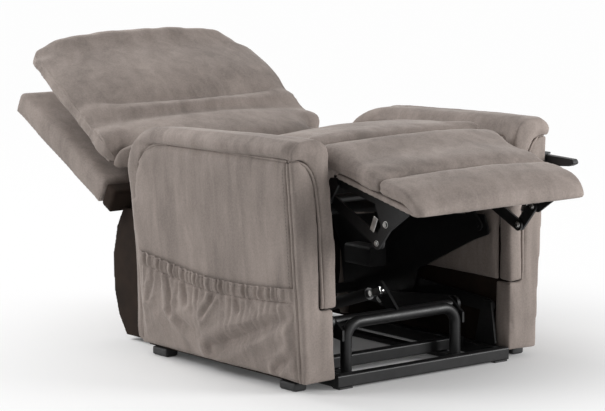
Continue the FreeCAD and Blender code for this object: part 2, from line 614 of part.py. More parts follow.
# Seat, in its own frame: y runs to the rear along the seat, z square to it
def seat():
    def on_seat(item):
        return place(item, "0", "seat_y", "seat_z", "-seat_tilt")

    rail_top = "(seat_rail_height - seat_rail_drop)"
    bottom, start = "-seat_rail_drop", "seat_rail_start"
    outer = "(seat_rail_x + seat_rail_width)"
    rail = doc.addObject("Part::Box", "SeatRail")
    bind(rail, Length="seat_rail_width", Width=f"seat_length - {start}", Height="seat_rail_height")
    bind(rail, Placement__Base__x="seat_rail_x", Placement__Base__y=start, Placement__Base__z=bottom)
    rail_set = doc.addObject("Part::Compound", "SeatRailSet")
    rail_set.Links = [rail]
    on_seat(rail_set)
    lugs = [plate(f"SeatLug_{end}", [
        (f"{end}_lug_y - 24", f"{end}_lug_z + 40"), (f"{end}_lug_y - 12", f"{end}_lug_z - 13"),
        (f"{end}_lug_y + 12", f"{end}_lug_z - 13"), (f"{end}_lug_y + 34", f"{end}_lug_z + 34")],
        "4", (), "6") for end in ("front", "rear")]
    horn = plate("SeatHorn", [("legrest_y - 14", "legrest_z - 8"), ("legrest_y - 6", "legrest_z + 8"),
                              ("legrest_y + 14", "legrest_z + 8"), ("crank_y - 9", "crank_z + 30"),
                              ("crank_y + 50", "crank_z + 16"),
                              ("crank_y + 60", "crank_z - 20"), ("crank_y - 12", "crank_z - 20")],
                 "6", [("crank_y", "crank_z", "crank_tube_radius + run_gap")], "5")
    for item in lugs + [horn]:
        place(item, outer)
    pins = [rod(f"SeatPin{i}", "pin_radius", x[0], x[1], y, z) for i, (x, y, z) in enumerate((
        ((outer, "link_x + link_thick + 2"), "front_lug_y", "front_lug_z"),
        ((outer, "link_x + link_thick + 2"), "rear_lug_y", "rear_lug_z"),
        (("crank_x + 12", outer), "legrest_y", "legrest_z")))]
    both_sides("seat_side_rails", join("SeatRailWhole", [rail_set, horn] + lugs + pins))
    rails = []
    for name, y in (("Front", f"{start} + 34"), ("Rear", "seat_length - seat_rail_width")):
        cross = doc.addObject("Part::Box", f"SeatCross{name}")
        bind(cross, Length="2 * seat_rail_x", Width="seat_rail_width", Height="seat_rail_height - 12")
        bind(cross, Placement__Base__x="-seat_rail_x", Placement__Base__y=y,
             Placement__Base__z=f"{bottom} + 12")
        rails.append(cross)
    rail_group = doc.addObject("Part::Compound", "SeatCrossRails")
    rail_group.Links = rails
    on_seat(rail_group)
    ear = plate("LegMotorEar", [
        ("leg_anchor_y - 13", "leg_anchor_z - 13"), ("leg_anchor_y + 20", "leg_anchor_z - 13"),
        ("leg_anchor_y + 64", "leg_anchor_z + 20"), ("leg_anchor_y + 54", "leg_anchor_z + 44"),
        ("leg_anchor_y - 13", "leg_anchor_z + 13")], "6", (), "6")
    fork = anchor_fork("LegMotorFork", ear, "motor_offset", "leg_anchor_y", "leg_anchor_z")
    keep(join("SeatCrossFork", [rail_group, fork]), "seat_cross_rails")
    straps = []
    for i in range(5):
        strap = doc.addObject("Part::Box", f"Webbing{i}")
        bind(strap, Length="webbing_width", Width=f"seat_length - {start} - 34", Height="webbing_thick")
        bind(strap, Placement__Base__x=f"(seat_rail_x * 2 - webbing_width) * {i - 2} / 5 - webbing_width / 2",
             Placement__Base__y=f"{start} + 34", Placement__Base__z=rail_top)
        straps.append(strap)
    keep(on_seat(group("WebbingSet", straps)), "seat_webbing")
    half, length = size("seat_half"), size("seat_length")
    stations = [(0, half - 10, 0.4, 84, 90), (14, half - 2, 0.4, 102, 108), (60, half, 0.4, 112, 122),
                (125, half - 1, 0.4, 118, 132), (280, half - 4, 0.4, 114, 126),
                (430, half - 3, 0.4, 106, 118), (length - 22, half - 2, 0.4, 98, 110),
                (length, half - 14, 0.4, 78, 86)]
    keep(on_seat(cushion("SeatForm", stations, 5)), "seat_cushion")


# Leg rest, in its own frame: y runs forward along the rest, z square to it
def legrest():
    def on_rest(item):
        turned = FreeCAD.Rotation(Vector(0, 0, 1), 180)
        tilt = FreeCAD.Rotation(X_AXIS, size("legrest_tilt"))
        spot = Vector(0, size("legrest_y") - size("datum_to_middle"), size("legrest_z"))
        item.Placement = FreeCAD.Placement(spot, tilt.multiply(turned))
        return item

    board = doc.addObject("Part::Box", "RestBoard")
    bind(board, Length="2 * legrest_half - 10", Width="board_length - 20", Height="board_thick")
    bind(board, Placement__Base__x="5 - legrest_half", Placement__Base__y="16",
         Placement__Base__z="board_drop")
    board_set = doc.addObject("Part::Compound", "RestBoardSet")
    board_set.Links = [board]
    keep(on_rest(board_set), "legrest_board")
    half, top = size("legrest_half"), size("board_drop") + size("board_thick") + 0.4
    seam, nose = 178, size("board_length") + 10
    bridge = cushion("BridgeForm", [
        (-58, half - 4, top, 66, 72), (-40, half + 2, top, 74, 84), (20, half + 3, top, 72, 86),
        (100, half + 2, top, 66, 80), (seam - 14, half, top, 58, 70), (seam, half - 8, top, 48, 54)], 4)
    on_rest(bridge)
    seat_zone = doc.addObject("Part::Box", "SeatFrontZone")
    bind(seat_zone, Length="2 * overall_width", Width="200", Height="400")
    bind(seat_zone, Placement__Base__x="-overall_width", Placement__Base__y="-1", Placement__Base__z="-60")
    zone = doc.addObject("Part::Compound", "SeatFrontZoneSet")
    zone.Links = [seat_zone]
    place(zone, "0", "seat_y", "seat_z", "-seat_tilt")
    keep(cut("BridgePad", bridge, zone), "bridge_pad")
    front = cushion("RestForm", [
        (seam + 0.6, half - 8, top, 48, 54), (seam + 14, half - 1, top, 58, 70), (235, half + 2, top, 62, 76),
        (285, half + 2, top, 58, 70), (nose - 14, half - 1, top, 48, 58), (nose, half - 12, top, 38, 44)], 4)
    keep(on_rest(front), "legrest_pad")
    lug = plate("RestBracket", [
        ("legrest_y + 12", "legrest_z - 10"), ("legrest_y + 12", "legrest_z + 13"),
        ("legrest_y - 12", "legrest_z + 10"), ("knee_lug_y - 80", "legrest_z - 46"),
        ("knee_lug_y - 80", "legrest_z - 54"), ("knee_lug_y - 14", "knee_lug_z - 14"),
        ("knee_lug_y + 14", "knee_lug_z - 12"), ("knee_lug_y + 40", "legrest_z - 38"),
        ("legrest_y - 14", "legrest_z - 14")], "5",
        [("legrest_y", "legrest_z", "pin_radius + run_gap"),
         ("knee_lug_y", "knee_lug_z", "pin_radius + run_gap")])
    both_sides("legrest_brackets", place(lug, "crank_x + 16"))


def legrest_drive():
    knee = ("knee_lug_y + crank_y - legrest_y", "knee_lug_z + crank_z - legrest_z")
    arm, angle = link("CrankArm", ("crank_y", "crank_z"), (f"({knee[0]})", f"({knee[1]})"), "link_radius",
                      "link_thick", None, None)
    place(arm, "crank_x", "crank_y", "crank_z", angle)
    pin = rod("KneePin", "pin_radius", "crank_x + 2", "crank_x + 15", *knee)
    tube = rod("CrankTube", "crank_tube_radius", "-seat_rail_x - seat_rail_width - 6",
               "seat_rail_x + seat_rail_width + 6", "crank_y", "crank_z")
    lever = lever_plate("CrankLever", "lever_reach", "crank_tube_radius", "eye_slip")
    place(lever, "motor_offset + tongue_thick / 2 + clear_gap", "crank_y", "crank_z", "leg_lever_turn")
    doc.recompute()
    sides = [arm, pin, mirrored("CrankArmRight", arm), mirrored("KneePinRight", pin)]
    keep(join("CrankWhole", sides + [tube, lever]), "legrest_crank")
    bar, angle = link("KneeLink", ("knee_lug_y", "knee_lug_z"), (f"({knee[0]})", f"({knee[1]})"),
                      "link_radius", "link_thick", None, "pin_radius + clear_gap")
    place(bar, "crank_x + 8", "knee_lug_y", "knee_lug_z", angle)
    stud = rod("KneeStud", "pin_radius", "crank_x + 10", "crank_x + 24", "knee_lug_y", "knee_lug_z")
    both_sides("knee_links", join("KneeLinkWhole", [bar, stud]))


# Back, in its own frame: y runs up the back from the recline axis, z square to its outer face
def back():
    def on_back(item):
        return place(item, "0", "recline_y", "recline_z", "back_tilt")

    shell = doc.addObject("PartDesign::Body", "BackShell")
    top = "shell_start + shell_length"
    block = pad(shell, outline(shell, "BackShellSide", "YZ_Plane", [
        ("shell_start", "-shell_drop"), (top, "-shell_drop"), (top, "shell_thick - shell_drop - 8"),
        (f"{top} - 24", "shell_thick - shell_drop"), ("shell_start", "shell_thick - shell_drop")]),
        "2 * back_half", True)
    round_edges(shell, block, "9", lambda a, b: abs(a.x - b.x) > 10 or a.y > size("shell_length"))
    keep(on_back(shell), "back_shell")
    rail = doc.addObject("Part::Box", "BackRail")
    bind(rail, Length="2 * (back_half - 8)", Width="back_rail", Height="shell_thick - 4")
    bind(rail, Placement__Base__x="8 - back_half", Placement__Base__y="shell_start - back_rail",
         Placement__Base__z="2 - shell_drop")
    rail_set = doc.addObject("Part::Compound", "BackRailSet")
    rail_set.Links = [rail]
    keep(on_back(rail_set), "back_lower_rail")
    tube = rod("ReclineTube", "tube_radius", "4 - plate_x", "plate_x - 4", "recline_y", "recline_z")
    stub = rod("ReclineStub", "pin_radius + 2", "-plate_x - plate_thick + 1", "plate_x + plate_thick - 1",
               "recline_y", "recline_z")
    cheek = plate("BackCheek", [
        ("-16", "-18"), ("6", "-24"), ("shell_start - 20", "-shell_drop + 16"),
        ("shell_start - 20", "-shell_drop + shell_thick + 4"), ("18", "10"), ("-10", "13")], "8", (), "6")
    cheek_set = doc.addObject("Part::Compound", "BackCheekSet")
    cheek_set.Links = [cheek]
    bind(cheek, Placement__Base__x="plate_x - 60")
    on_back(cheek_set)
    doc.recompute()
    lever = lever_plate("ReclineLever", "back_lever", "tube_radius", "back_eye_slip")
    place(lever, "tongue_thick / 2 + clear_gap - motor_offset", "recline_y", "recline_z", "back_lever_turn")
    cheeks = [cheek_set, mirrored("BackCheekRight", cheek_set)]
    whole = join("ReclineFrameWhole", cheeks + [tube, stub, lever])
    keep(cut("ReclineFrame", whole, rail_set), "recline_frame")
    lumbar_half, low = size("lumbar_half"), size("tube_radius") + 1.2
    lumbar = cushion("LumbarForm", [
        (-8, lumbar_half - 12, low, 26, 30), (12, lumbar_half - 2, low, 40, 48),
        (50, lumbar_half, low, 50, 62), (90, lumbar_half, low, 44, 56), (116, lumbar_half - 2, low, 36, 44),
        (134, lumbar_half - 12, low, 24, 28)], 4)
    keep(on_back(lumbar), "lumbar_pad")


def head_pad():
    def on_head(item):
        return place(item, "0", "head_y", "head_z", "head_tilt")

    board = doc.addObject("Part::Box", "HeadBoard")
    bind(board, Length="2 * head_half - 60", Width="head_length - 40", Height="head_board")
    bind(board, Placement__Base__x="30 - head_half", Placement__Base__y="10")
    board_set = doc.addObject("Part::Compound", "HeadBoardSet")
    board_set.Links = [board]
    on_head(board_set)
    half, length = size("head_half"), size("head_length")
    low = size("head_board") + 0.4
    form = cushion("HeadForm", [
        (-6, half - 22, low, 40, 48), (14, half - 3, low, 58, 74), (70, half, low, 62, 92),
        (140, half - 3, low, 60, 94), (196, half - 4, low, 56, 80), (212, half - 6, low, 52, 70),
        (230, half - 4, low, 56, 80), (320, half - 2, low, 58, 92), (length - 60, half, low, 54, 86),
        (length - 16, half - 4, low, 44, 66), (length, half - 24, low, 32, 40)], 5)
    keep(on_head(form), "back_pad")
    fittings = []
    for i, x in enumerate(("-head_hinge_x", "head_hinge_x")):
        strap = doc.addObject("Part::Box", f"HeadStrap{i}")
        bind(strap, Length="60", Width="70", Height="6")
        bind(strap, Placement__Base__x=f"{x} - 30", Placement__Base__y="-4", Placement__Base__z="-6")
        pin = doc.addObject("Part::Cylinder", f"HeadPin{i}")
        bind(pin, Radius="head_pin_radius", Height="84")
        pin.Placement = FreeCAD.Placement(Vector(), FreeCAD.Rotation(Y_AXIS, 90))
        bind(pin, Placement__Base__x=f"{x} - 42", Placement__Base__z="-head_pin_drop")
        knuckle = doc.addObject("Part::Box", f"HeadKnuckle{i}")
        bind(knuckle, Length="60", Width="2 * head_pin_radius", Height="head_pin_drop")
        bind(knuckle, Placement__Base__x=f"{x} - 30", Placement__Base__y="-head_pin_radius",
             Placement__Base__z="-head_pin_drop")
        doc.recompute()
        fittings.append(on_head(join(f"HeadFitting{i}", [strap, pin, knuckle])))
    doc.recompute()
    keep(join("HeadFrame", [board_set] + fittings), "head_board")
    pin_y = "(head_y + head_pin_drop * sin(head_tilt * 1deg))"
    pin_z = "(head_z - head_pin_drop * cos(head_tilt * 1deg))"
    ears = []
    for i, x in enumerate(("-head_hinge_x - 40", "-head_hinge_x + 32",
                           "head_hinge_x - 40", "head_hinge_x + 32")):
        ear = plate(f"HeadEar{i}", [
            (f"{pin_y} - 6", f"{pin_z} - 40"), (f"{pin_y} + 24", f"{pin_z} - 20"),
            (f"{pin_y} + 12", pin_z), (f"{pin_y} + 8", f"{pin_z} + 9"), (pin_y, f"{pin_z} + 12"),
            (f"{pin_y} - 8", f"{pin_z} + 9"), (f"{pin_y} - 12", pin_z)], "8",
            [(pin_y, pin_z, "head_pin_radius + run_gap")])
        ears.append(place(ear, x))
    doc.recompute()
    fitted = cut("HeadEarsFit", group("HeadEars", ears), made("back_lower_rail"))
    keep(cut("HeadEarsTrim", fitted, made("back_shell")), "head_hinge_ears")


# Actuators: a motor housing on a tail pivot and a rod that slides out towards a lever
def actuator(label, x, anchor, target, retract="0"):
    angle = f"atan2({target[1]} - {anchor[1]}; {target[0]} - {anchor[0]}) / 1deg"
    run = f"sqrt(({target[0]} - {anchor[0]})^2 + ({target[1]} - {anchor[1]})^2)"
    tube_end = f"({run} - rod_end_gap - 8 - {retract})"
    tail = doc.addObject("Part::Box", label + "Tail")
    bind(tail, Length="tongue_thick", Width="30", Height="20")
    bind(tail, Placement__Base__x="-tongue_thick / 2", Placement__Base__y="-11", Placement__Base__z="-10")
    eye = doc.addObject("Part::Cylinder", label + "Eye")
    bind(eye, Radius="rod_pin + run_gap", Height="40")
    eye.Placement = FreeCAD.Placement(Vector(), FreeCAD.Rotation(Y_AXIS, 90))
    bind(eye, Placement__Base__x="-20")
    gear = doc.addObject("Part::Box", label + "Gear")
    bind(gear, Length="2 * motor_radius", Width="gear_length", Height="2 * motor_radius - 4")
    bind(gear, Placement__Base__x="-motor_radius", Placement__Base__y="16",
         Placement__Base__z="2 - motor_radius")
    gear_round = doc.addObject("Part::Fillet", label + "GearRound")
    gear_round.Base = gear
    doc.recompute()
    gear_round.Edges = [(i, 6, 6) for i in range(1, 13)]
    tube = doc.addObject("Part::Cylinder", label + "Tube")
    bind(tube, Radius="rod_radius + 6", Height=f"{tube_end} - 40")
    tube.Placement = FreeCAD.Placement(Vector(), FreeCAD.Rotation(X_AXIS, -90))
    bind(tube, Placement__Base__y="40")
    bore = doc.addObject("Part::Cylinder", label + "Bore")
    bind(bore, Radius="rod_radius + clear_gap", Height=f"{tube_end} - 60")
    bore.Placement = FreeCAD.Placement(Vector(), FreeCAD.Rotation(X_AXIS, -90))
    bind(bore, Placement__Base__y="70")
    motor = doc.addObject("Part::Cylinder", label + "Motor")
    bind(motor, Radius="motor_radius - 4", Height="70")
    motor.Placement = FreeCAD.Placement(Vector(), FreeCAD.Rotation(X_AXIS, -90))
    bind(motor, Placement__Base__x="2 * motor_radius - 10", Placement__Base__y="22")
    doc.recompute()
    solid = join(label + "Solid", [tail, gear_round, tube, motor])
    housing = cut(label + "Housing", solid, join(label + "Holes", [eye, bore]))
    place(housing, x, anchor[0], anchor[1], angle)
    keep(housing, label + "_housing")
    inner = doc.addObject("Part::Cylinder", label + "Rod")
    bind(inner, Radius="rod_radius", Height=f"{run} - rod_end_gap - rod_start - {retract}")
    inner.Placement = FreeCAD.Placement(Vector(), FreeCAD.Rotation(X_AXIS, -90))
    bind(inner, Placement__Base__y=f"rod_start + {retract}")
    tongue = doc.addObject("Part::Box", label + "Tongue")
    bind(tongue, Length="tongue_thick", Width="rod_end_gap + 15", Height="18")
    bind(tongue, Placement__Base__x="-tongue_thick / 2", Placement__Base__y=f"{run} - rod_end_gap - 6",
         Placement__Base__z="-9")
    pin = doc.addObject("Part::Cylinder", label + "Pin")
    bind(pin, Radius="rod_pin", Height="tongue_thick + 12")
    pin.Placement = FreeCAD.Placement(Vector(), FreeCAD.Rotation(Y_AXIS, 90))
    bind(pin, Placement__Base__x="-tongue_thick / 2", Placement__Base__y=run)
    slider = join(label + "Slider", [inner, tongue, pin])
    place(slider, x, anchor[0], anchor[1], angle)
    keep(slider, label + "_rod")


def around(pivot, reach, turn):
    return (f"({pivot}_y + {reach} * cos({turn} * 1deg))", f"({pivot}_z + {reach} * sin({turn} * 1deg))")


def actuators():
    actuator("lift_actuator", "0", ("lift_anchor_y", "lift_anchor_z"),
             around("lift", "lift_lever", "lift_lever_turn"))
    actuator("back_actuator", "-motor_offset", ("(rear_tube_y + 8)", "(rear_tube_z + 28)"),
             around("recline", "back_lever", "back_lever_turn"))
    actuator("legrest_actuator", "motor_offset", ("leg_anchor_y", "leg_anchor_z"),
             around("crank", "lever_reach", "leg_lever_turn"), "leg_retract")


# Dust cover behind the seat: a bulging rear wall with side returns, open at front, top and foot
def dust_cover():
    def wall(name, inset):
        body = doc.addObject("PartDesign::Body", name)
        bulge = f"(cover_bulge - {inset})"
        pad(body, outline(body, name + "Side", "YZ_Plane", [
            (f"cover_front - {inset}", f"12 - {inset}"), (f"{bulge} - 56", f"12 - {inset}"),
            (f"{bulge} - 22", "60"), (f"{bulge} - 3", "125"), (bulge, "215"),
            (f"{bulge} - 20", "285"), (f"{bulge} - 52", f"cover_top + {inset}"),
            (f"cover_front - {inset}", f"cover_top + {inset}")]), f"2 * (cover_half - {inset})", True)
        return place(body)

    outer = wall("CoverOuter", "0")
    inner = wall("CoverInner", "cover_wall")
    doc.recompute()
    cover = cut("DustCover", outer, inner)
    for side in ("left", "right"):
        cover = cut(f"DustCover_{side}", cover, made(f"{side}_arm_side_panel"))
    keep(cover, "rear_dust_cover")


# Hand control in its clip on the outer side of the left arm
def hand_control():
    face = side_face("(control_z + control_height)")
    clip = join("ControlClip", [
        box("ClipBack", (f"{face} + 0.6", f"{face} + 3"), ("12", "44"),
            ("control_z - 5", "control_z + control_height + 5")),
        box("ClipTop", (f"{face} + 3", f"{face} + control_thick + 3"), ("12", "44"),
            ("control_z + control_height + clear_gap", "control_z + control_height + 5")),
        box("ClipFoot", (f"{face} + 3", f"{face} + control_thick + 3"), ("12", "44"),
            ("control_z - 5", "control_z - clear_gap"))])
    keep(clip, "control_clip")
    near, far = f"({face} + 3.4)", f"({face} + 3.4 + control_thick)"
    body = plate("ControlCase", [
        ("control_y", "control_z + 12"), ("control_y + 20", "control_z + 4"),
        ("control_y + 70", "control_z"), ("control_y + control_length", "control_z"),
        ("control_y + control_length", "control_z + control_height"),
        ("control_y + 8", "control_z + control_height - 4")],
        "control_thick", (), "5")
    place(body, near)
    wells = [box(f"ButtonWell{i}", (f"{far} - 4", f"{far} + 1"),
                 (f"control_y + {y}", f"control_y + {y} + 14"), ("control_z + 8", "control_z + 20"))
             for i, y in enumerate((22, 42))]
    doc.recompute()
    keep(cut("ControlBody", body, join("ButtonWells", wells)), "hand_control")
    for label, y in (("raise_button", 22), ("lower_button", 42)):
        gap = "clear_gap"
        cap = box(label + "Cap", (f"{far} - 4 + button_travel + {gap}", f"{far} + 1"),
                  (f"control_y + {y} + {gap}", f"control_y + {y} + 14 - {gap}"),
                  (f"control_z + 8 + {gap}", f"control_z + 20 - {gap}"))
        keep(cap, label)


arms()
feet()
floor_base()
hoop()
lift_linkage()
mechanism()
swing_links()
seat()
legrest()
legrest_drive()
back()
head_pad()
actuators()
dust_cover()
hand_control()

doc.recompute()
faults = [o.Label for o in doc.Objects if {"Invalid", "Error"} & set(o.State)]
faults += [p.Label for p in pieces if p.Shape.isNull() or not p.Shape.isValid()]
if faults:
    raise RuntimeError("failed pieces: " + ", ".join(faults))
os.makedirs("parts", exist_ok=True)
for piece in pieces:
    piece.Shape.exportStep(f"parts/{piece.Label}.step")
print(len(pieces), "nodes,", sum(len(p.Shape.Solids) for p in pieces), "solids")
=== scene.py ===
import json
import math
import bmesh
import bpy
import numpy as np
from mathutils import Matrix, Vector, noise
from mathutils.bvhtree import BVHTree

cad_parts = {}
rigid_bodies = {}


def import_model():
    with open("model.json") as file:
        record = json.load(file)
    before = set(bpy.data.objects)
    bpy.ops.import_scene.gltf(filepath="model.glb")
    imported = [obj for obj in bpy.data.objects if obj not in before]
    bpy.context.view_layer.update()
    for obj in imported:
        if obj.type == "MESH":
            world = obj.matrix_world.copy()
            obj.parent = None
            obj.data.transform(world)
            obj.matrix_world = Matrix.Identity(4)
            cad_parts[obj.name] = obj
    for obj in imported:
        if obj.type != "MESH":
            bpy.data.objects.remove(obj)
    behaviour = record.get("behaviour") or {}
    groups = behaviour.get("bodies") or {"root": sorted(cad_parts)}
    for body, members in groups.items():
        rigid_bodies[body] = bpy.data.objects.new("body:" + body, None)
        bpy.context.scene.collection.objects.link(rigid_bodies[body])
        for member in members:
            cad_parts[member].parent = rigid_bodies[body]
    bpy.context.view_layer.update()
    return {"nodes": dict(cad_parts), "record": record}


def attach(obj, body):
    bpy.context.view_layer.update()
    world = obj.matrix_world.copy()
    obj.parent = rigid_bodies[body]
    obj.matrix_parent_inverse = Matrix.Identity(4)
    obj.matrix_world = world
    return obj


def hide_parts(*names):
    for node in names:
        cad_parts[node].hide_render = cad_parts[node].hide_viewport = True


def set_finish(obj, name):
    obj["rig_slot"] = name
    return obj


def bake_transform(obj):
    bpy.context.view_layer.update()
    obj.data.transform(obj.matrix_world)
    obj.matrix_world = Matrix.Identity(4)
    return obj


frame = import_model()
nodes = frame["nodes"]
scene = bpy.context.scene
mm = 0.001
setBack = 0.502  # the frame's origin lies this far behind the front of the arms


def spot(x, y, z):  # millimetres from the floor under the front of the arms
    return Vector((x * mm, y * mm - setBack, z * mm))


def tilted(y, z, degrees, turned=False):  # a tilted frame: y along the cushion, z square to it
    turn = Matrix.Rotation(math.radians(degrees), 4, "X")
    if turned:
        turn = turn @ Matrix.Rotation(math.pi, 4, "Z")
    return Matrix.Translation(spot(0, y, z)) @ turn


seatFrame = tilted(82, 475, -9)
restFrame = tilted(45, 488, 12, True)
backFrame = tilted(700, 400, 27.5)
headFrame = tilted(875, 451, 32.5)
floorFrame = tilted(0, 0, 0)


# Camera at the photograph's viewing angle
view = {"azimuth": -37.555, "elevation": 8.247, "roll": -0.444, "distance": 6.5346,
        "lens": 154.71, "target": (-29.884, 443.031, 367.165)}


def addCamera():
    a, e, r = (math.radians(view[k]) for k in ("azimuth", "elevation", "roll"))
    back = Vector((math.sin(a) * math.cos(e), -math.cos(a) * math.cos(e), math.sin(e)))
    level = Vector((math.cos(a), math.sin(a), 0))
    up = back.cross(level)
    right = math.cos(r) * level + math.sin(r) * up
    up = back.cross(right)
    data = bpy.data.cameras.new("photoCamera")
    data.sensor_width, data.lens = 36, view["lens"]
    data.clip_end = 60
    camera = bpy.data.objects.new("photoCamera", data)
    turn = Matrix((right, up, back)).transposed().to_4x4()
    camera.matrix_world = Matrix.Translation(spot(*view["target"]) + back * view["distance"]) @ turn
    scene.collection.objects.link(camera)
    scene.camera = camera


# Shader expressions: a Wire is a socket that takes part in sums
class Wire:
    def __init__(self, owner, socket):
        self.owner, self.socket = owner, socket

    def sum(self, operation, a, b):
        return self.owner.add("ShaderNodeMath", {"operation": operation}, {0: a, 1: b})

    def __add__(self, other):
        return self.sum("ADD", self, other)

    def __radd__(self, other):
        return self.sum("ADD", other, self)

    def __sub__(self, other):
        return self.sum("SUBTRACT", self, other)

    def __rsub__(self, other):
        return self.sum("SUBTRACT", other, self)

    def __mul__(self, other):
        return self.sum("MULTIPLY", self, other)

    def __rmul__(self, other):
        return self.sum("MULTIPLY", other, self)


class Nodes:
    def __init__(self, tree):
        self.tree = tree

    def add(self, kind, settings, values, output=0):
        made = self.tree.nodes.new(kind)
        for key, value in settings.items():
            if key == "stops":
                ramp = made.color_ramp
                while len(ramp.elements) < len(value):
                    ramp.elements.new(0.5)
                for stop, (at, shade) in zip(ramp.elements, value):
                    stop.position, stop.color = at, (*shade, 1)
            else:
                setattr(made, key, value)
        for key, value in values.items():
            self.feed(made.inputs[key], value)
        return Wire(self, made.outputs[output])

    def feed(self, socket, value):
        if isinstance(value, Wire):
            self.tree.links.new(value.socket, socket)
        else:
            socket.default_value = value

    def seen(self):  # 1 where the camera, a reflection or glass looks at it
        direct, glossy, through = (self.add("ShaderNodeLightPath", {}, {}, f"Is {kind} Ray")
                                   for kind in ("Camera", "Glossy", "Transmission"))
        return direct + glossy + through


class Finish(Nodes):
    def __init__(self, name):
        self.material = bpy.data.materials.new(name)
        self.material.use_nodes = True
        super().__init__(self.material.node_tree)
        self.shader = self.tree.nodes["Principled BSDF"]
        self.place = self.add("ShaderNodeTexCoord", {}, {}, "Object")

    def set(self, **values):  # shader sockets by name, with underscores for spaces
        for key, value in values.items():
            self.feed(self.shader.inputs[key.replace("_", " ")], value)
        return self.material

    def grain(self, scale, detail=2.0, roughness=0.5, stretch=(1, 1, 1), distortion=0.0):
        where = self.add("ShaderNodeMapping", {}, {"Vector": self.place, "Scale": stretch})
        return self.add("ShaderNodeTexNoise", {}, {"Vector": where, "Scale": scale, "Detail": detail,
                                                   "Roughness": roughness, "Distortion": distortion})

    def ramp(self, value, *stops):
        return self.add("ShaderNodeValToRGB", {"stops": stops}, {"Fac": value})

    def bump(self, height, strength, distance):
        return self.add("ShaderNodeBump", {}, {"Height": height, "Strength": strength, "Distance": distance})


velourLook = {"clouds": 0.36, "strokes": 0.28, "mottle": 0.18, "pile": 0.18, "sheen": 0.2, "relief": 0.0008}


def velour(name, shade, contrast):
    look = velourLook
    made = Finish(name)
    clouds = made.grain(6, 3, 0.5, (1, 1, 0.7), distortion=0.4)
    strokes = made.grain(30, 3, 0.55, (1, 1, 0.2), distortion=0.6)  # brushed up and down
    mottle = made.grain(230, 2, 0.5)
    pile = made.grain(1600, 2, 0.6)
    nap = clouds * look["clouds"] + strokes * look["strokes"] + mottle * look["mottle"] + pile * look["pile"]
    dark, light = (tuple(c * k for c in shade) for k in (1 - contrast, 1 + contrast))
    colour = made.ramp(nap, (0.38, dark), (0.5, shade), (0.62, light))
    relief = made.bump(pile * 0.6 + mottle * 0.6, 0.3, look["relief"])
    return made.set(Base_Color=colour, Roughness=0.98 - nap * 0.2, Normal=relief, Sheen_Weight=look["sheen"],
                    Sheen_Roughness=0.32, Sheen_Tint=(0.92, 0.87, 0.84, 1), Specular_IOR_Level=0.2)


def steel(name, shade, low, high, metallic, speck):
    made = Finish(name)
    smear = made.grain(22, 4, 0.6)
    peel = made.grain(900, 2)
    dust = made.grain(60, 5, 0.65)
    pale = tuple(min(1.0, c * 1.9 + speck) for c in shade)
    colour = made.ramp(dust, (0.42, shade), (0.78, pale))
    return made.set(Base_Color=colour, Metallic=metallic, Roughness=low + smear * (high - low),
                    Normal=made.bump(peel, 0.25, 0.0003), Specular_IOR_Level=0.4)


def plastic(name, shade):
    made = Finish(name)
    grain = made.grain(1100, 2)
    rub = made.grain(35, 4, 0.6)
    colour = made.ramp(rub, (0.4, shade), (0.8, tuple(c * 1.7 + 0.004 for c in shade)))
    return made.set(Base_Color=colour, Roughness=0.42 + rub * 0.25, Normal=made.bump(grain, 0.3, 0.0003))


def cloth(name, shade, pale, threads):
    made = Finish(name)
    weave = [made.add("ShaderNodeTexWave", {"bands_direction": way, "wave_profile": "SIN"},
                      {"Vector": made.place, "Scale": threads, "Distortion": 0.6, "Detail": 1.0}, 1)
             for way in ("X", "Y", "Z")]
    body = weave[0] * 0.34 + weave[1] * 0.33 + weave[2] * 0.33
    wear = made.grain(18, 4, 0.6)
    colour = made.ramp(wear * 0.7 + body * 0.3, (0.3, shade), (0.75, pale))
    return made.set(Base_Color=colour, Roughness=0.92, Normal=made.bump(body, 0.4, 0.0006),
                    Specular_IOR_Level=0.2)


def plywood(name):
    made = Finish(name)
    rings = made.add("ShaderNodeTexWave", {"bands_direction": "X"},
                     {"Vector": made.place, "Scale": 9.0, "Distortion": 7.0, "Detail": 3.0,
                      "Detail Scale": 1.4}, 1)
    pores = made.grain(420, 3, 0.6, (1, 0.08, 1))
    colour = made.ramp(rings * 0.7 + pores * 0.3, (0.2, (0.36, 0.23, 0.13)), (0.8, (0.58, 0.43, 0.27)))
    return made.set(Base_Color=colour, Roughness=0.7 + pores * 0.2, Normal=made.bump(pores, 0.2, 0.0004))


finishes = {
    "upholstery": velour("greyVelour", (0.284, 0.241, 0.217), 0.27),
    "dust_cloth": cloth("dustCloth", (0.012, 0.0078, 0.0058), (0.03, 0.0185, 0.0125), 260.0),
    "webbing": cloth("elasticWebbing", (0.03, 0.03, 0.032), (0.09, 0.088, 0.085), 190.0),
    "black_steel": steel("blackSteel", (0.0045, 0.0045, 0.0048), 0.32, 0.56, 0.0, 0.003),
    "zinc_steel": steel("zincSteel", (0.5, 0.5, 0.49), 0.2, 0.42, 1.0, 0.05),
    "arm_wood": plywood("framePlywood"),
    "black_plastic": plastic("blackPlastic", (0.014, 0.014, 0.0145)),
    "button_grey": plastic("buttonRubber", (0.11, 0.11, 0.115)),
}
threadFinish = cloth("seamThread", (0.12, 0.1, 0.092), (0.24, 0.21, 0.195), 900.0)
slotOf = {row["node"]: row["material_slot"] for row in frame["record"]["subparts"]}


def dressFrame():  # every CAD node gets its slot's finish, and keeps its own mesh
    for name, slotName in slotOf.items():
        nodes[name].data.materials.clear()
        nodes[name].data.materials.append(finishes[slotName])


# Meshes
def meshOf(shape, name):
    mesh = bpy.data.meshes.new(name)
    shape.to_mesh(mesh)
    shape.free()
    return mesh


def newObject(name, mesh, slotName):
    piece = bpy.data.objects.new(name, mesh)
    scene.collection.objects.link(piece)
    mesh.materials.clear()
    mesh.materials.append(finishes[slotName])
    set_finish(piece, slotName)
    return piece


